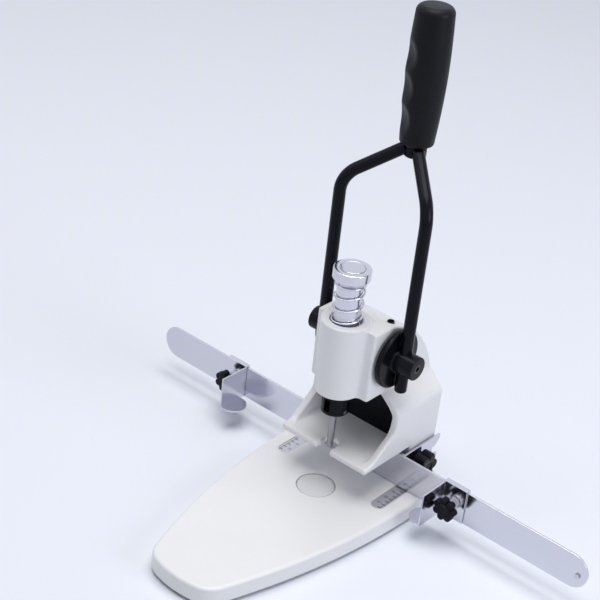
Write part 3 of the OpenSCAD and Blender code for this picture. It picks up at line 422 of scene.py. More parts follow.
def head_field(x, y, z):
    """Distance to the head. What the side view shows between the walls is joined with the walls,
    whose edge slopes down to the plate, by z = floor + 0.77 (y - 0.5) and a little more outwards.
    Both are cut to the outer side and front views, and then come the block and the hollows."""
    slope = (z - FLOOR_Z - 0.77 * (y - 0.5) - 0.3 * (np.abs(x) - CHAMBER_HALF)) / 1.3
    walls = soft_max(slope, CHAMBER_HALF - np.abs(x), 1.2)
    body = soft_min(outline_distance(y, z, MIDDLE_VIEW), walls, 4.0)
    body = soft_max(body, outline_distance(y, z, HULL_VIEW), 2.0)
    body = soft_max(body, outline_distance(x, z, FRONT_VIEW), 2.6)
    taper = 18.6 + (z - BLOCK_Z) * 1.4 / (NOSE_TOP - BLOCK_Z)
    nose = soft_max(np.hypot(x, y) - taper, z - NOSE_TOP, 1.6)
    block = soft_max(outline_distance(y, z, BLOCK_VIEW), np.abs(x) - BLOCK_HALF, 2.6)
    upper = soft_max(soft_min(nose, block, 5.0), BLOCK_Z - z, 1.6)
    body = np.minimum(body, upper)
    boss = np.maximum(np.hypot(y - CLAMP_Y, z - CLAMP_Z) - 7.5, np.abs(x) - 45.6)
    body = soft_min(body, boss, 1.2)

    ease = np.clip((z - 75) / 12, 0, 1)
    chamber = np.maximum(outline_distance(x, z, CHAMBER_VIEW), slab(y, WALL_FRONT - 8, 46.0))
    body = soft_max(body, -chamber, 0.02 + 2.4 * ease)
    notch = np.minimum(np.maximum(np.abs(x) - 6.85, y - 1.0), np.hypot(x, y - 1.0) - 6.85)
    body = soft_max(body, -np.maximum(notch, slab(z, 48, 57)), 1.4)
    gear = np.maximum(np.hypot(y - SHAFT_Y, z - SHAFT_Z) - GEAR_HOLLOW, np.abs(x) - GEAR_HALF)
    below_gear = box_field(x, y, z, (-GEAR_HALF, 2.6, 100), (GEAR_HALF, 51.4, SHAFT_Z))
    body = np.maximum(body, -np.minimum(gear, below_gear))
    around = np.hypot(x, y)
    body = np.maximum(body, -np.maximum(around - PLUNGER_BORE, slab(z, 100, 200)))
    body = soft_max(body, -np.maximum(around - BUSH_BORE, slab(z, 90, 119.1)), 0.9)
    body = soft_max(body, -np.maximum(around - SPRING_BORE, slab(z, 161, 200)), 1.0)
    from_shaft = np.hypot(y - SHAFT_Y, z - SHAFT_Z)
    body = np.maximum(body, 8.4 - from_shaft)
    body = soft_max(body, -np.maximum(from_shaft - 11.1, 13.9 - np.abs(x)), 0.9)
    lock = np.maximum(np.hypot(np.abs(x) - LOCK_X, y - LOCK_Y) - 2.95, SHAFT_Z - z)
    body = soft_max(body, -lock, 1.0)
    hollow = np.minimum(box_field(x, y, z, (-22, 54, 24), (22, 82.5, 59)),
                        box_field(x, y, z, (-22, 50, 58), (22, 82.5, 98)))
    hollow = np.minimum(hollow, box_field(x, y, z, (-22, 81, 28), (22, 95, 98)))
    body = soft_max(body, -hollow, 1.2)
    rear_holes = np.hypot(np.abs(x) - 25, np.minimum(np.abs(z - 25.5), np.abs(z - 100.5))) - 1.6
    body = np.maximum(body, -np.maximum(rear_holes, 79.4 - y))
    clamp_holes = np.maximum(np.hypot(y - CLAMP_Y, z - CLAMP_Z) - 3.15, 30.2 - np.abs(x))
    body = soft_max(body, -clamp_holes, 0.6)
    bolts = np.hypot(np.abs(x) - 33, np.minimum(np.abs(y - 67), np.abs(y - 80))) - 4.1
    return np.maximum(body, -np.maximum(bolts, z - 42))


NET_STEP = 1.15
head = surface_net("head_casting_shell", head_field, (-48, -23, 15), (48, 90, 175), NET_STEP)

# %% [markdown]
# Flat pieces, such as the bar, its arms and the sheet-metal clips, already have the right shape in
# the solid model. What they lack is the small rounding that a deburred or plated edge has. Their
# mesh is copied, its coplanar triangles are merged, and a bevel rounds the edges of the copy.

# %% Softened copies of solids
def points_of(mesh):
    """The mesh's points in metres, one to a row."""
    points = np.empty(len(mesh.vertices) * 3)
    mesh.vertices.foreach_get("co", points)
    return points.reshape(-1, 3)


def merged_copy(name, node):
    """A new mesh object with the node's faces, with doubled corners and flat seams merged."""
    source = frame["nodes"][node].data
    corners = np.empty(len(source.loops), int)
    source.loops.foreach_get("vertex_index", corners)
    mesh = bpy.data.meshes.new(name)
    mesh.from_pydata(points_of(source), [], corners.reshape(-1, 3).tolist())
    work = bmesh.new()
    work.from_mesh(mesh)
    bmesh.ops.remove_doubles(work, verts=work.verts, dist=2e-6)
    bmesh.ops.dissolve_limit(work, angle_limit=np.radians(0.5), verts=work.verts, edges=work.edges)
    bmesh.ops.recalc_face_normals(work, faces=work.faces)
    work.to_mesh(mesh)
    work.free()
    return placed(name, mesh)


def add_bevel(piece, width, steps, by_weight=False):
    """Rounds edges by a width in millimetres, on sharp edges or on those with a weight."""
    sharp = np.radians(28)
    piece.data.shade_smooth()
    piece.data.set_sharp_from_angle(angle=sharp)
    bevel = piece.modifiers.new("edge_rounding", "BEVEL")
    bevel.width = width * MM
    bevel.segments = steps
    bevel.limit_method = "WEIGHT" if by_weight else "ANGLE"
    bevel.angle_limit = sharp
    bevel.harden_normals = True
    bevel.use_clamp_overlap = not by_weight


def soft_copy(node, width):
    """The node's copy with all its sharp edges rounded."""
    piece = merged_copy(node + "_soft", node)
    add_bevel(piece, width, 2)
    return piece


# %% [markdown]
# The base is a shallow casting with a flat top. Its top edge is rounded by nearly 3 mm all round,
# its lower edge by 2 mm, and the rims of the scale windows and of the disc's recess only lightly,
# because they are milled after painting. Each edge gets its own share of one bevel.

# %% Base plate
SCALE_X, WINDOW_NEAR, WINDOW_FAR, WINDOW_HALF = 50.3, 7.3, 41.0, 6.0
DISC_Y, RECESS_RADIUS = -12.0, 16.3


def rim_weights(piece):
    """Share of the widest rounding for each edge. An edge belongs to the outline of a level when
    all other corners of that level lie on one side of its line, because the outline is convex."""
    mesh = piece.data
    points = points_of(mesh) / MM
    ends = np.empty(len(mesh.edges) * 2, int)
    mesh.edges.foreach_get("vertices", ends)
    ends = ends.reshape(-1, 2)
    weights = np.zeros(len(ends))
    for level, share in ((BASE_TOP, 1.0), (2.5, 0.7)):
        here = np.abs(points[:, 2] - level) < 0.01
        flat = np.flatnonzero(here[ends].all(1))
        start, stop = points[ends[flat, 0], :2], points[ends[flat, 1], :2]
        along = (stop - start) / np.linalg.norm(stop - start, axis=1, keepdims=True)
        others = points[here, :2]
        off = others[None] - start[:, None]
        across = along[:, :1] * off[..., 1] - along[:, 1:] * off[..., 0]
        outer = (across.min(1) > -0.005) | (across.max(1) < 0.005)
        weights[flat[outer]] = share
    x, y, z = np.abs(points[:, 0]), points[:, 1], points[:, 2]
    top = np.abs(z - BASE_TOP) < 0.01
    window = np.hypot(x - SCALE_X, y - np.clip(y, WINDOW_NEAR, WINDOW_FAR)) - WINDOW_HALF
    recess = np.hypot(x, y - DISC_Y) - RECESS_RADIUS
    weights[(top & (np.abs(window) < 0.1))[ends].all(1)] = 0.16
    weights[(top & (np.abs(recess) < 0.1))[ends].all(1)] = 0.14
    return weights


base = merged_copy("base_plate_shell", "base_plate")
share = base.data.attributes.new("bevel_weight_edge", "FLOAT", "EDGE")
share.data.foreach_set("value", rim_weights(base))
add_bevel(base, 2.8, 5, by_weight=True)
print("base edges:", len(base.data.edges))

# %% [markdown]
# The cutting disc is a white plastic disc that the operator turns a little when the punch has worn
# its mark into it. Its rim is fluted for the fingertip: the radius dips at 38 places near the top.
# Its top lies a little below the plate round it, so the dark gap shows at the far side.

# %% Cutting disc
DISC_RADIUS, DISC_FOOT, DISC_TOP = 16, 13.8, 17.3
FLUTES, FLUTE_HALF, FLUTE_DEPTH = 38, 0.85, 1.1


def fluted_disc():
    """Rows run round the disc, and columns up its side and in across its top."""
    angle = np.linspace(0, 2 * np.pi, FLUTES * 14, endpoint=False)[:, None]
    profile = rounded([(0.01, DISC_FOOT), (DISC_RADIUS, DISC_FOOT), (DISC_RADIUS, DISC_TOP),
                       (0.01, DISC_TOP)], (0.5, 0.35), 6)
    radius, height = profile[None, :, 0], profile[None, :, 1]
    off = np.angle(np.exp(1j * FLUTES * angle)) / FLUTES * DISC_RADIUS
    flute = np.clip(1 - (off / FLUTE_HALF) ** 2, 0, 1) ** 0.5
    near_rim = np.clip((radius - 13) / 2, 0, 1)
    upper = np.clip((height - 14.6) / 0.8, 0, 1)
    radius = radius - FLUTE_DEPTH * flute * near_rim * upper
    across, over = radius * np.cos(angle), radius * np.sin(angle) + DISC_Y
    return skinned("cutting_disc_fluted", np.stack(np.broadcast_arrays(across, over, height), -1))


disc = fluted_disc()
print("disc:", len(disc.data.vertices), "points")

# %% [markdown]
# The lever has two black-painted rods. Each runs straight up beside the head, bends over at its
# shoulder and leans in to the collar under the grip. The centre line of a rod lies in one upright
# plane, so a circle carried along it needs no twisting: one side vector stays the same all along.

# %% Lever rods
ROD_RADIUS, ROD_X, ROD_TAIL = 5.0, 41.4, 26.5
BEND_Z, BEND_RADIUS, BEND_TURN = 257.5, 23.7, np.radians(57.8)
GRIP_Y = 60.0


def rod_line(side):
    """Points and directions along a rod's centre line: straight, round the bend and straight."""
    reach = np.hypot(ROD_X, GRIP_Y - SHAFT_Y)
    inward = np.array([-side * ROD_X, GRIP_Y - SHAFT_Y, 0]) / reach
    rise = np.array([0, 0, 1.0])
    last = (reach - BEND_RADIUS * (1 - np.cos(BEND_TURN))) / np.sin(BEND_TURN) - 9.6
    low = np.concatenate([SHAFT_Z - ROD_TAIL + 1.8 * (1 - np.cos(np.linspace(0, np.pi / 2, 7))),
                          np.linspace(SHAFT_Z - ROD_TAIL + 4, BEND_Z, 40)])
    turn = np.linspace(0, BEND_TURN, 25)[1:, None]
    foot = np.array([side * ROD_X, SHAFT_Y, 0])
    straight = foot + low[:, None] * rise
    bend_start = foot + BEND_Z * rise
    bend = bend_start + BEND_RADIUS * ((1 - np.cos(turn)) * inward + np.sin(turn) * rise)
    lean = np.sin(BEND_TURN) * inward + np.cos(BEND_TURN) * rise
    shoulder = bend[-1] + np.linspace(0, last, 12)[1:, None] * lean
    line = np.concatenate([straight, bend, shoulder])
    ahead = np.concatenate([np.tile(rise, (len(low), 1)), np.sin(turn) * inward + np.cos(turn) * rise,
                            np.tile(lean, (11, 1))])
    return line, ahead, np.cross(inward, rise)


def rod(side, name):
    """A circle carried along the rod's line, with a rounded lower end."""
    line, ahead, across = rod_line(side)
    radius = np.full(len(line), ROD_RADIUS)
    radius[:7] = ROD_RADIUS - 1.8 * (1 - np.sin(np.linspace(0, np.pi / 2, 7)))
    angle = np.linspace(0, 2 * np.pi, 40, endpoint=False)[:, None, None]
    over = np.cross(ahead, across)
    grid = line + radius[None, :, None] * (np.cos(angle) * across + np.sin(angle) * over)
    return skinned(name, grid)


rods = [rod(side, name) for side, name in ((-1, "lever_rod_left_bar"), (1, "lever_rod_right_bar"))]
print("rods:", [len(r.data.vertices) for r in rods])

# %% [markdown]
# Each hub is turned from one piece: a thin round disc against the head and a boss that holds the
# rod. The collar under the grip and the plunger's cap are turned parts as well. The cap has a
# generously rounded rim, and a separate plate closes its top.

# %% Hubs, cap and collar
HUB_IN, HUB_FACE = 31.3, 35.7


def hub(side, name, disc_radius, end):
    """Ring profile: out along the bore, over the boss and the disc's rounded rim."""
    outer = rounded([(4.1, end), (9.8, end), (9.8, HUB_FACE), (disc_radius, HUB_FACE),
                     (disc_radius, HUB_IN), (8.05, HUB_IN)], (0.8, 1.6, 1.3, 0.5))
    bore = np.array([(8.05, 47.9), (4.1, 47.9)])
    profile = np.concatenate([outer, bore]) * [1, side]
    return turned(name, profile, (0, SHAFT_Y, SHAFT_Z), axis="x", sides=120, ring=True)


hubs = [hub(-1, "lever_hub_left_turned", 18.0, 50.0), hub(1, "lever_hub_right_turned", 24.8, 54.1)]

CAP_Z, CAP_TOP, CAP_RADIUS = 205.6, 216.6, 14.9
cap_outline = rounded([(10.32, CAP_Z), (12.9, CAP_Z), (14.2, CAP_Z + 2.3), (CAP_RADIUS, CAP_Z + 2.9),
                       (CAP_RADIUS, CAP_TOP), (10.1, CAP_TOP), (10.1, CAP_TOP - 1), (4, CAP_TOP - 1),
                       (4, CAP_Z + 5.6), (10.32, CAP_Z + 5.6)], (0.6, 0.5, 0.5, 1.0, 0.3, 0.2, 0.2, 0.2))
cap = turned("plunger_cap_turned", cap_outline, (0, 0, 0), sides=120, ring=True)
plate = rounded([(0.01, CAP_TOP - 0.95), (9.7, CAP_TOP - 0.95), (9.7, CAP_TOP + 0.3), (0.01, CAP_TOP + 0.3)],
                (0.1, 0.35))
cap_plate = turned("cap_disc_turned", plate, (0, 0, 0))

COLLAR_Z, COLLAR_TOP = 292.92, 303.1
collar_outline = rounded([(2.95, COLLAR_Z), (8.8, COLLAR_Z), (8.8, COLLAR_TOP), (2.95, COLLAR_TOP)],
                         (1.2, 0.8))
collar = turned("yoke_collar_turned", collar_outline, (0, GRIP_Y, 0), sides=80, ring=True)
print("turned parts:", [len(p.data.vertices) for p in (*hubs, cap, cap_plate, collar)])

# %% [markdown]
# The grip is moulded plastic. Its radius swells between its ends, and three shallow hollows for
# the fingers lie one over the other on the side that faces the operator. Each hollow is what a
# large lying cylinder would cut away: at an angle a from its middle the surface may reach out only
# to limit / cos(a). A soft minimum of that and the plain radius runs the hollow out gently.

# %% Grip
GRIP_Z, GRIP_LENGTH, CROWN = 303.42, 108.0, 5.5
GRIP_SWELL, HOLLOW_DEPTH, HOLLOW_RADIUS = 2.3, 2.8, 27.0


def plain_radius(height):
    """Radius before the hollows: 13.3 at the foot, 1 more at the top, and half a sine between."""
    return 13.3 + height / GRIP_LENGTH + GRIP_SWELL * np.sin(np.pi * height / GRIP_LENGTH)


def grip_surface():
    """Radius of the grip over height and angle."""
    height = np.linspace(0, 1, 150)[None, :] * (GRIP_LENGTH - CROWN)
    angle = np.linspace(0, 2 * np.pi, 96, endpoint=False)[:, None]
    facing = np.radians(-90 - 32)
    lean = np.cos(angle - facing)
    radius = np.broadcast_to(plain_radius(height), (96, 150))
    for middle in np.array([0.17, 0.41, 0.655]) * GRIP_LENGTH:
        off = np.clip(height - middle, -24, 24)
        limit = HOLLOW_RADIUS + plain_radius(middle) - HOLLOW_DEPTH - np.sqrt(HOLLOW_RADIUS**2 - off**2)
        limit = limit / np.maximum(lean, 0.05)
        radius = soft_min(radius, limit, 1.4)
    foot = np.clip(1 - height / 1.8, 0, 1)
    radius = radius - 1.8 * (1 - np.sqrt(1 - foot**2))
    crown = np.linspace(0, np.pi / 2, 14)[None, 1:]
    rim = radius[:, -1:] - CROWN * (1 - np.cos(crown))
    radius = np.concatenate([radius, rim], 1)
    height = np.concatenate([height, GRIP_LENGTH - CROWN + CROWN * np.sin(crown)], 1)
    grid = np.stack(np.broadcast_arrays(radius * np.cos(angle), radius * np.sin(angle) + GRIP_Y,
                                        height + GRIP_Z), -1)
    return skinned("lever_grip_moulded", grid, crease=60)


grip = grip_surface()
print("grip:", len(grip.data.vertices), "points")

# %% [markdown]
# The return spring is wound from round wire, with its last turn at each end closed onto the one
# before. On the machine it shortens as the plunger goes down.

# %% Return spring
SPRING_Z, WIRE, COIL_RADIUS, OPEN_COILS, CLOSED_COILS = 162.5, 1.6, 11.7, 3.7, 0.9
SPRING_TURN = np.radians(40)


def spring():
    """A circle carried along the helix. Its height climbs by one wire per turn in the closed ends
    and by the open pitch between them."""
    total = OPEN_COILS + 2 * CLOSED_COILS
    turns = np.linspace(0, total, int(total * 48) + 1)
    low, high = SPRING_Z + WIRE / 2, CAP_Z - WIRE / 2
    pitch = (high - low - 2 * CLOSED_COILS * WIRE) / OPEN_COILS
    level = np.interp(turns, [0, CLOSED_COILS, CLOSED_COILS + OPEN_COILS, total],
                      [low, low + CLOSED_COILS * WIRE, high - CLOSED_COILS * WIRE, high])
    climb = np.interp(turns, [0, CLOSED_COILS, CLOSED_COILS + 0.3, total - CLOSED_COILS - 0.3,
                              total - CLOSED_COILS, total], [WIRE, WIRE, pitch, pitch, WIRE, WIRE])
    around = 2 * np.pi * turns + SPRING_TURN
    out = np.stack([np.cos(around), np.sin(around), 0 * around], -1)
    ahead = np.stack([-np.sin(around), np.cos(around), climb / (2 * np.pi * COIL_RADIUS)], -1)
    ahead /= np.linalg.norm(ahead, axis=1, keepdims=True)
    over = np.cross(out, ahead)
    line = COIL_RADIUS * out + level[:, None] * [0, 0, 1]
    angle = np.linspace(0, 2 * np.pi, 14, endpoint=False)[:, None, None]
    grid = line + WIRE / 2 * (np.cos(angle) * out + np.sin(angle) * over)
    return skinned("return_spring_wire", grid)


coil = spring()
print("spring:", len(coil.data.vertices), "points")

# %% [markdown]
# The four black knobs are round-lobed stars. In polar form the outline is the larger of a core
# circle and of the far side of the nearest lobe, d cos(a) + sqrt(l^2 - d^2 sin^2(a)), joined softly.

# %% Knobs
def star_outline(angle, radius, lobes):
    """Radius of the star at each angle."""
    core, lobe = 0.7 * radius, 0.3 * radius
    off = np.angle(np.exp(1j * lobes * angle)) / lobes
    inside = np.maximum(lobe**2 - (core * np.sin(off)) ** 2, 0)
    far_side = core * np.cos(off) + np.sqrt(inside) - 0.12 * radius * (inside == 0)
    return soft_max(np.full_like(angle, core), far_side, 0.1 * radius)


def knob(name, centre, axis, side, radius, lobes, profile):
    """A star over a profile of (inset from the outline, height). Insets beyond the outline's
    smallest radius shrink towards the axis. Height runs outwards along the knob's axis."""
    angle = np.linspace(0, 2 * np.pi, lobes * 30, endpoint=False)[:, None]
    outline = star_outline(angle, radius, lobes)
    inset, height = profile[None, :, 0], profile[None, :, 1]
    reach = np.where(inset < 0, -inset, outline - inset)
    grid = {"x": (side * (height + 0 * angle), reach * np.cos(angle), reach * np.sin(angle)),
            "y": (reach * np.cos(angle), side * (height + 0 * angle), reach * np.sin(angle))}[axis]
    return skinned(name, np.stack(np.broadcast_arrays(*grid), -1) + np.asarray(centre, float))


def knob_profile(collar, collar_height, thickness, edge, hub_radius, hub_rise):
    """Columns from the axis at the back, out over the collar and the rounded star, and back to the
    axis over a low round hub. A radius measured from the axis is written as a negative inset."""
    arc = np.linspace(0, np.pi / 2, 6)
    back = [(-0.01, -collar_height), (-collar, -collar_height), (-collar, 0.0), (-collar - 0.4, 0.0)]
    lower = [(edge * (1 - np.sin(a)), edge * (1 - np.cos(a))) for a in arc]
    upper = [(edge * (1 - np.cos(a)), thickness - edge * (1 - np.sin(a))) for a in arc]
    front = [(-hub_radius - 0.5, thickness), (-hub_radius, thickness + 0.3 * hub_rise),
             (-hub_radius + 0.4, thickness + hub_rise), (-0.01, thickness + hub_rise)]
    return np.array(back + lower + upper + front)


STOP_X, STOP_Y, STOP_Z = {"left": -137.9, "right": 101.9}, 27.8, 34.0
clamp_profile = knob_profile(6.5, 1.7, thickness=10.0, edge=1.3, hub_radius=5.0, hub_rise=-0.8)
stop_profile = knob_profile(4.5, 6.2, thickness=6.8, edge=1.1, hub_radius=5.6, hub_rise=1.5)
knobs = {}
for hand, side in (("left", -1), ("right", 1)):
    knobs["clamp_" + hand] = knob("clamp_knob_" + hand + "_star", (side * 50, CLAMP_Y, CLAMP_Z), "x",
                                  side, 13.0, 6, clamp_profile)
for hand, x in STOP_X.items():
    knobs["stop_" + hand + "_knob"] = knob("stop_knob_" + hand + "_star", (x, STOP_Y, STOP_Z), "y",
                                           -1, 10.2, 7, stop_profile)
print("knobs:", list(knobs))

# %% [markdown]
# The stop knobs are short stars, and each stands off its clip on a plated collar. The two holes in
# the block get a thin black sleeve inside: painted shade, which keeps them dark where the overhead
# lamp would light their walls.

# %% Knob collars and painted shade in the lock holes
collar_profile = rounded([(0.01, 0), (5.3, 0), (5.3, 6.1), (0.01, 6.1)], (0.3, 0.3), 3)
hole_shade_profile = np.array([(2.6, 159.8), (2.93, 159.8), (2.93, 167.6), (2.6, 167.6)], float)
small_parts = []
for hand, x in STOP_X.items():
    sleeve = turned("stop_knob_" + hand + "_collar", collar_profile, (x, 27.85, STOP_Z), "y", 48)
    small_parts.append((sleeve, "stop_" + hand + "_knob", "screw_steel"))
# A thin black sleeve inside each lock hole is painted shade, not a part of the machine.
for hand, side in (("left", -1), ("right", 1)):
    hole_shade_sleeve = turned("lock_hole_shade_sleeve_" + hand, hole_shade_profile, (side * LOCK_X, LOCK_Y, 0), "z", 48, True)
    small_parts.append((hole_shade_sleeve, "machine", "black_screw"))
print("collars and linings:", len(small_parts))

# %% [markdown]
# The sheet-metal and plate pieces are the softened copies. The widths are those of a deburred
# edge: a quarter of a millimetre on thin sheet and a little more on thicker plate.

# %% Sheet and plate pieces
SOFT = {
    "margin_bar": (0.35, "margin_bar", "chrome_plate"),
    "bar_arm_left": (0.3, "margin_bar", "chrome_plate"),
    "bar_arm_right": (0.3, "margin_bar", "chrome_plate"),
    "side_stop_left": (0.25, "stop_left", "chrome_plate"),
    "side_stop_right": (0.25, "stop_right", "chrome_plate"),
    "rear_cover": (0.4, "machine", "cast_white"),
    "rubber_feet": (0.5, "machine", "foot_rubber"),
    "bottom_cover": (0.3, "machine", "black_paint"),
    "punch_holder": (0.35, "plunger", "black_paint"),
    "scale_plate_left": (0.12, "machine", "scale_metal"),
    "scale_plate_right": (0.12, "machine", "scale_metal"),
}
soft_pieces = {node: soft_copy(node, row[0]) for node, row in SOFT.items()}
print("softened copies:", len(soft_pieces))

# %% [markdown]
# The scales show how far the edge of the sheets lies behind the hole, so their zero is the punch's
# axis. Long marks stand at every 5 mm and short ones at every millimetre, with a plain number at
# every 10 mm. The real marks are too small to read in the photograph, so this spacing is a guess.
# They are printed, so they are thin plates lying just on the metal.

# %% Scale marks
PLATE_TOP = 17.2
MARK_RISE = 0.04


def mark_boxes(low_x, high_x, middle_y, thickness):
    """Corner points and quads of thin plates, one for each middle."""
    count = len(middle_y)
    corner = np.array([[i, j, k] for k in (0, 1) for i, j in ((0, 0), (1, 0), (1, 1), (0, 1))])
    x = np.where(corner[:, 0] == 0, low_x[:, None], high_x[:, None])
    y = middle_y[:, None] + (corner[:, 1] - 0.5) * thickness[:, None]
    z = np.broadcast_to(PLATE_TOP - 0.02 + corner[:, 2] * (MARK_RISE + 0.02), x.shape)
    points = np.stack([x, y, z], -1).reshape(-1, 3)
    quads = np.array([[3, 2, 1, 0], [4, 5, 6, 7], [0, 1, 5, 4], [1, 2, 6, 5], [2, 3, 7, 6], [3, 0, 4, 7]])
    return points, (quads[None] + 8 * np.arange(count)[:, None, None]).reshape(-1, 4)


def number_mesh(text, x, y, size):
    """A plain number, flat on the plate, as a mesh with its place in the mesh."""
    curve = bpy.data.curves.new("number", "FONT")
    curve.body, curve.size, curve.align_x, curve.align_y = text, size * MM, "CENTER", "CENTER"
    curve.extrude = MARK_RISE * MM / 2
    curve.resolution_u = 3
    maker = placed("number_maker", curve)
    mesh = bpy.data.meshes.new_from_object(maker.evaluated_get(bpy.context.evaluated_depsgraph_get()))
    bpy.data.objects.remove(maker)
    mesh.transform(Matrix.Translation(Vector((x, y, PLATE_TOP + MARK_RISE / 2)) * MM))
    return mesh


def scale_marks(side, name):
    """All the marks of one scale, joined into one piece."""
    at = np.arange(3, 46).astype(float)
    major = at % 5 == 0
    outer = np.full(len(at), SCALE_X + 4.6)
    inner = outer - np.where(major, 3.6, 1.7)
    low_x, high_x = (inner, outer) if side > 0 else (-outer, -inner)
    points, quads = mark_boxes(low_x, high_x, at, np.where(major, 0.75, 0.25))
    piece = solid_piece(name, points, quads)
    work = bmesh.new()
    work.from_mesh(piece.data)
    for number in (10, 20, 30, 40):
        mesh = number_mesh(str(number), side * 48.2, number, 3.4)
        work.from_mesh(mesh)
        bpy.data.meshes.remove(mesh)
    bmesh.ops.triangulate(work, faces=work.faces)
    work.to_mesh(piece.data)
    work.free()
    piece.data.shade_flat()
    return piece


marks = [scale_marks(-1, "scale_marks_left"), scale_marks(1, "scale_marks_right")]
print("scale marks:", [len(m.data.vertices) for m in marks])

# %% [markdown]
# Finishes. Shared effects are small node groups that give a mask or a height from the piece's own
# coordinates in metres. What is the same all over a surface is set on the shader itself.

# %% Shared effects
def effect_group(name, inputs, outputs):
    """A node group with a vector input, number inputs with defaults, and number outputs."""
    tree = bpy.data.node_groups.new(name, "ShaderNodeTree")
    tree.interface.new_socket(name="Vector", in_out="INPUT", socket_type="NodeSocketVector")
    for label, value in inputs:
        socket = tree.interface.new_socket(name=label, in_out="INPUT", socket_type="NodeSocketFloat")
        socket.default_value = value
    for label in outputs:
        tree.interface.new_socket(name=label, in_out="OUTPUT", socket_type="NodeSocketFloat")
    return tree, tree.nodes.new("NodeGroupInput"), tree.nodes.new("NodeGroupOutput")


def speckle_group():
    """Soft noise at a given size per metre: the peel of a paint or the grain of a moulding."""
    tree, given, made = effect_group("speckle", [("Scale", 600.0), ("Detail", 3.0)], ["Height"])
    noise = tree.nodes.new("ShaderNodeTexNoise")
    tree.links.new(given.outputs["Vector"], noise.inputs["Vector"])
    tree.links.new(given.outputs["Scale"], noise.inputs["Scale"])
    tree.links.new(given.outputs["Detail"], noise.inputs["Detail"])
    tree.links.new(noise.outputs["Fac"], made.inputs["Height"])
    return tree


def handling_group():
    """Broad uneven patches, as left by wiping and by hands: large noise mapped onto Low..High."""
    tree, given, made = effect_group("handling", [("Scale", 45.0), ("Low", 0.3), ("High", 0.4)], ["Value"])
    noise = tree.nodes.new("ShaderNodeTexNoise")
    noise.inputs["Detail"].default_value = 5.0
    noise.inputs["Roughness"].default_value = 0.6
    spread = tree.nodes.new("ShaderNodeMapRange")
    spread.inputs["From Min"].default_value = 0.3
    spread.inputs["From Max"].default_value = 0.7
    tree.links.new(given.outputs["Vector"], noise.inputs["Vector"])
    tree.links.new(given.outputs["Scale"], noise.inputs["Scale"])
    tree.links.new(noise.outputs["Fac"], spread.inputs["Value"])
    tree.links.new(given.outputs["Low"], spread.inputs["To Min"])
    tree.links.new(given.outputs["High"], spread.inputs["To Max"])
    tree.links.new(spread.outputs["Result"], made.inputs["Value"])
    return tree


def drawn_group():
    """Fine lines along one axis, as drawing or grinding leaves them: noise that is squeezed a
    hundredfold across the lines."""
    tree, given, made = effect_group("drawn_lines", [("Scale", 40.0)], ["Height"])
    squeeze = tree.nodes.new("ShaderNodeVectorMath")
    squeeze.operation = "MULTIPLY"
    squeeze.inputs[1].default_value = (1.0, 60.0, 60.0)
    noise = tree.nodes.new("ShaderNodeTexNoise")
    noise.inputs["Detail"].default_value = 2.0
    tree.links.new(given.outputs["Vector"], squeeze.inputs[0])
    tree.links.new(squeeze.outputs[0], noise.inputs["Vector"])
    tree.links.new(given.outputs["Scale"], noise.inputs["Scale"])
    tree.links.new(noise.outputs["Fac"], made.inputs["Height"])
    return tree


GROUPS = {"speckle": speckle_group(), "handling": handling_group(), "drawn": drawn_group()}


class Finish:
    """A material with one shader, and the calls that add effects to it."""

    def __init__(self, name, colour, roughness, metallic=0.0, specular=0.5, coat=0.0, tint=None):
        self.material = bpy.data.materials.new(name)
        self.material.use_nodes = True
        self.tree = self.material.node_tree
        self.shader = self.tree.nodes["Principled BSDF"]
        self.coords = self.tree.nodes.new("ShaderNodeTexCoord")
        self.shader.inputs["Base Color"].default_value = (*colour, 1)
        self.shader.inputs["Roughness"].default_value = roughness
        self.shader.inputs["Metallic"].default_value = metallic
        self.shader.inputs["Specular IOR Level"].default_value = specular
        self.shader.inputs["Coat Weight"].default_value = coat
        self.shader.inputs["Coat Roughness"].default_value = 0.15
        if tint:
            self.shader.inputs["Specular Tint"].default_value = (*tint, 1)

    def group(self, kind, **values):
        """An effect's node with its values, read at the piece's own coordinates."""
        node = self.tree.nodes.new("ShaderNodeGroup")
        node.node_tree = GROUPS[kind]
        for label, value in values.items():
            node.inputs[label].default_value = value
        self.tree.links.new(self.coords.outputs["Object"], node.inputs["Vector"])
        return node

    def uneven_gloss(self, low, high):
        """Roughness wanders between two values."""
        node = self.group("handling", Low=low, High=high)
        self.tree.links.new(node.outputs["Value"], self.shader.inputs["Roughness"])
        return self

    def uneven_colour(self, other):
        """Colour wanders from the base colour up to half way towards another."""
        node = self.group("handling", Low=0.0, High=0.5, Scale=30.0)
        mix = self.tree.nodes.new("ShaderNodeMix")
        mix.data_type = "RGBA"
        mix.inputs["A"].default_value = self.shader.inputs["Base Color"].default_value
        mix.inputs["B"].default_value = (*other, 1)
        self.tree.links.new(node.outputs["Value"], mix.inputs["Factor"])
        self.tree.links.new(mix.outputs["Result"], self.shader.inputs["Base Color"])
        return self

    def bumpy(self, kind, strength, depth, **values):
        """A bump from a group's height, with its depth in millimetres."""
        node = self.group(kind, **values)
        bump = self.tree.nodes.new("ShaderNodeBump")
        bump.inputs["Strength"].default_value = strength
        bump.inputs["Distance"].default_value = depth * MM
        self.tree.links.new(node.outputs["Height"], bump.inputs["Height"])
        self.tree.links.new(bump.outputs["Normal"], self.shader.inputs["Normal"])
        return self


# %% [markdown]
# The casting has a warm white powder coat with a faint orange peel. The disc is white plastic. The
# lever's steel is painted a glossy black with a violet cast in its shine, the knobs are black
# mouldings, and the bar, the clips and the plunger are bright chrome. Bushes are plain bronze.

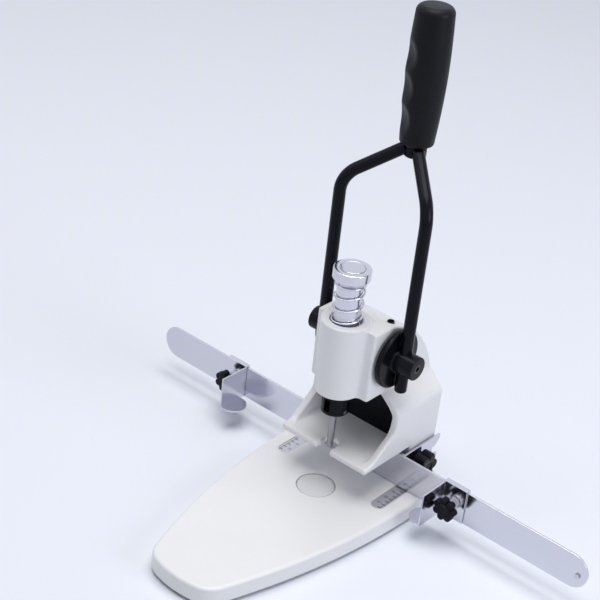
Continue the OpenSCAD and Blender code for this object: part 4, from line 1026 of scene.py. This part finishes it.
# %% Finishes
NEAR_BLACK = (0.004, 0.004, 0.006)
FINISHES = {
    "cast_white": Finish("white_powder_coat", (0.83, 0.83, 0.82), 0.36, coat=0.15)
    .uneven_colour((0.79, 0.79, 0.785)).uneven_gloss(0.32, 0.42).bumpy("speckle", 0.12, 0.05, Scale=420.0),
    "disc_white": Finish("white_cutting_plastic", (0.70, 0.70, 0.71), 0.45)
    .uneven_gloss(0.4, 0.55).bumpy("speckle", 0.1, 0.03, Scale=900.0),
    "black_paint": Finish("glossy_black_paint", NEAR_BLACK, 0.22, specular=0.13, tint=(0.85, 0.87, 1.0))
    .uneven_gloss(0.18, 0.28).bumpy("speckle", 0.06, 0.03, Scale=500.0),
    "black_moulding": Finish("black_knob_moulding", NEAR_BLACK, 0.33, specular=0.12)
    .uneven_gloss(0.3, 0.42).bumpy("speckle", 0.1, 0.02, Scale=1500.0),
    "grip_black": Finish("soft_black_grip", NEAR_BLACK, 0.42, specular=0.16)
    .uneven_gloss(0.36, 0.5).bumpy("speckle", 0.2, 0.03, Scale=2200.0),
    "chrome_plate": Finish("bright_chrome", (0.64, 0.64, 0.70), 0.16, metallic=1.0)
    .uneven_gloss(0.13, 0.2).bumpy("drawn", 0.03, 0.01),
    "tool_steel": Finish("ground_tool_steel", (0.30, 0.30, 0.32), 0.3, metallic=1.0)
    .uneven_gloss(0.24, 0.36).bumpy("drawn", 0.15, 0.02),
    "screw_steel": Finish("zinc_plated_steel", (0.58, 0.58, 0.60), 0.3, metallic=1.0)
    .uneven_gloss(0.25, 0.38).bumpy("speckle", 0.05, 0.02, Scale=1200.0),
    "black_screw": Finish("blackened_steel", (0.02, 0.02, 0.022), 0.4, metallic=0.3).uneven_gloss(0.35, 0.5),
    "scale_metal": Finish("satin_scale_metal", (0.62, 0.62, 0.64), 0.38, metallic=0.9)
    .uneven_gloss(0.33, 0.45).bumpy("drawn", 0.1, 0.01),
    "bush_bronze": Finish("plain_bronze", (0.50, 0.33, 0.15), 0.34, metallic=1.0)
    .uneven_colour((0.42, 0.27, 0.12)).uneven_gloss(0.28, 0.42),
    "foot_rubber": Finish("matte_rubber", (0.02, 0.02, 0.02), 0.8)
    .uneven_gloss(0.72, 0.88).bumpy("speckle", 0.3, 0.03, Scale=1800.0),
    "printed_black": Finish("printed_black", (0.015, 0.015, 0.02), 0.5).uneven_gloss(0.45, 0.6),
}
finish = {name: made.material for name, made in FINISHES.items()}
print("finishes:", len(finish))

# %% [markdown]
# Last, every made piece is tied to the body that it moves with, and stands for its solid. The
# solids that stay in view as they are only take their finish from the record's own table.

# %% Dress the pieces
dress(head, "machine", "cast_white", "head_casting")
dress(base, "machine", "cast_white", "base_plate")
dress(disc, "disc", "disc_white", "cutting_disc")
for side, a_rod, a_hub in (("left", rods[0], hubs[0]), ("right", rods[1], hubs[1])):
    dress(a_rod, "lever", "black_paint", "lever_rod_" + side)
    dress(a_hub, "lever", "black_paint", "lever_hub_" + side)
dress(collar, "lever", "black_paint", "yoke_collar")
dress(grip, "lever", "grip_black", "lever_grip")
dress(cap, "plunger", "chrome_plate", "plunger_cap")
dress(cap_plate, "plunger", "chrome_plate", "cap_disc")
dress(coil, "machine", "chrome_plate", "return_spring")
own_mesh(coil)
for body, piece in knobs.items():
    dress(piece, body, "black_moulding", piece.name.removesuffix("_star"))
for node, (_, body, slot) in SOFT.items():
    dress(soft_pieces[node], body, slot, node)
for piece, body, name in small_parts:
    piece.data.materials.append(finish[name])
    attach(piece, body)
for piece in marks:
    piece.data.materials.append(finish["printed_black"])
    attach(piece, "machine")

for row in frame["record"]["subparts"]:
    solid = frame["nodes"][row["node"]]
    solid.data.materials.clear()
    solid.data.materials.append(finish[row["material_slot"]])

# %% [markdown]
# The floor is a wide pale plane just under the feet. It belongs to the stage and not to the machine.

# %% Floor
floor_corners = np.array([[-9, -9, 0], [9, -9, 0], [9, 9, 0], [-9, 9, 0]], float) / MM
floor = solid_piece("studio_floor", floor_corners + [0, 0, -0.05], np.array([[0, 1, 2, 3]]))
floor.data.materials.append(Finish("pale_floor", (0.82, 0.85, 0.91), 0.9, specular=0.0).material)
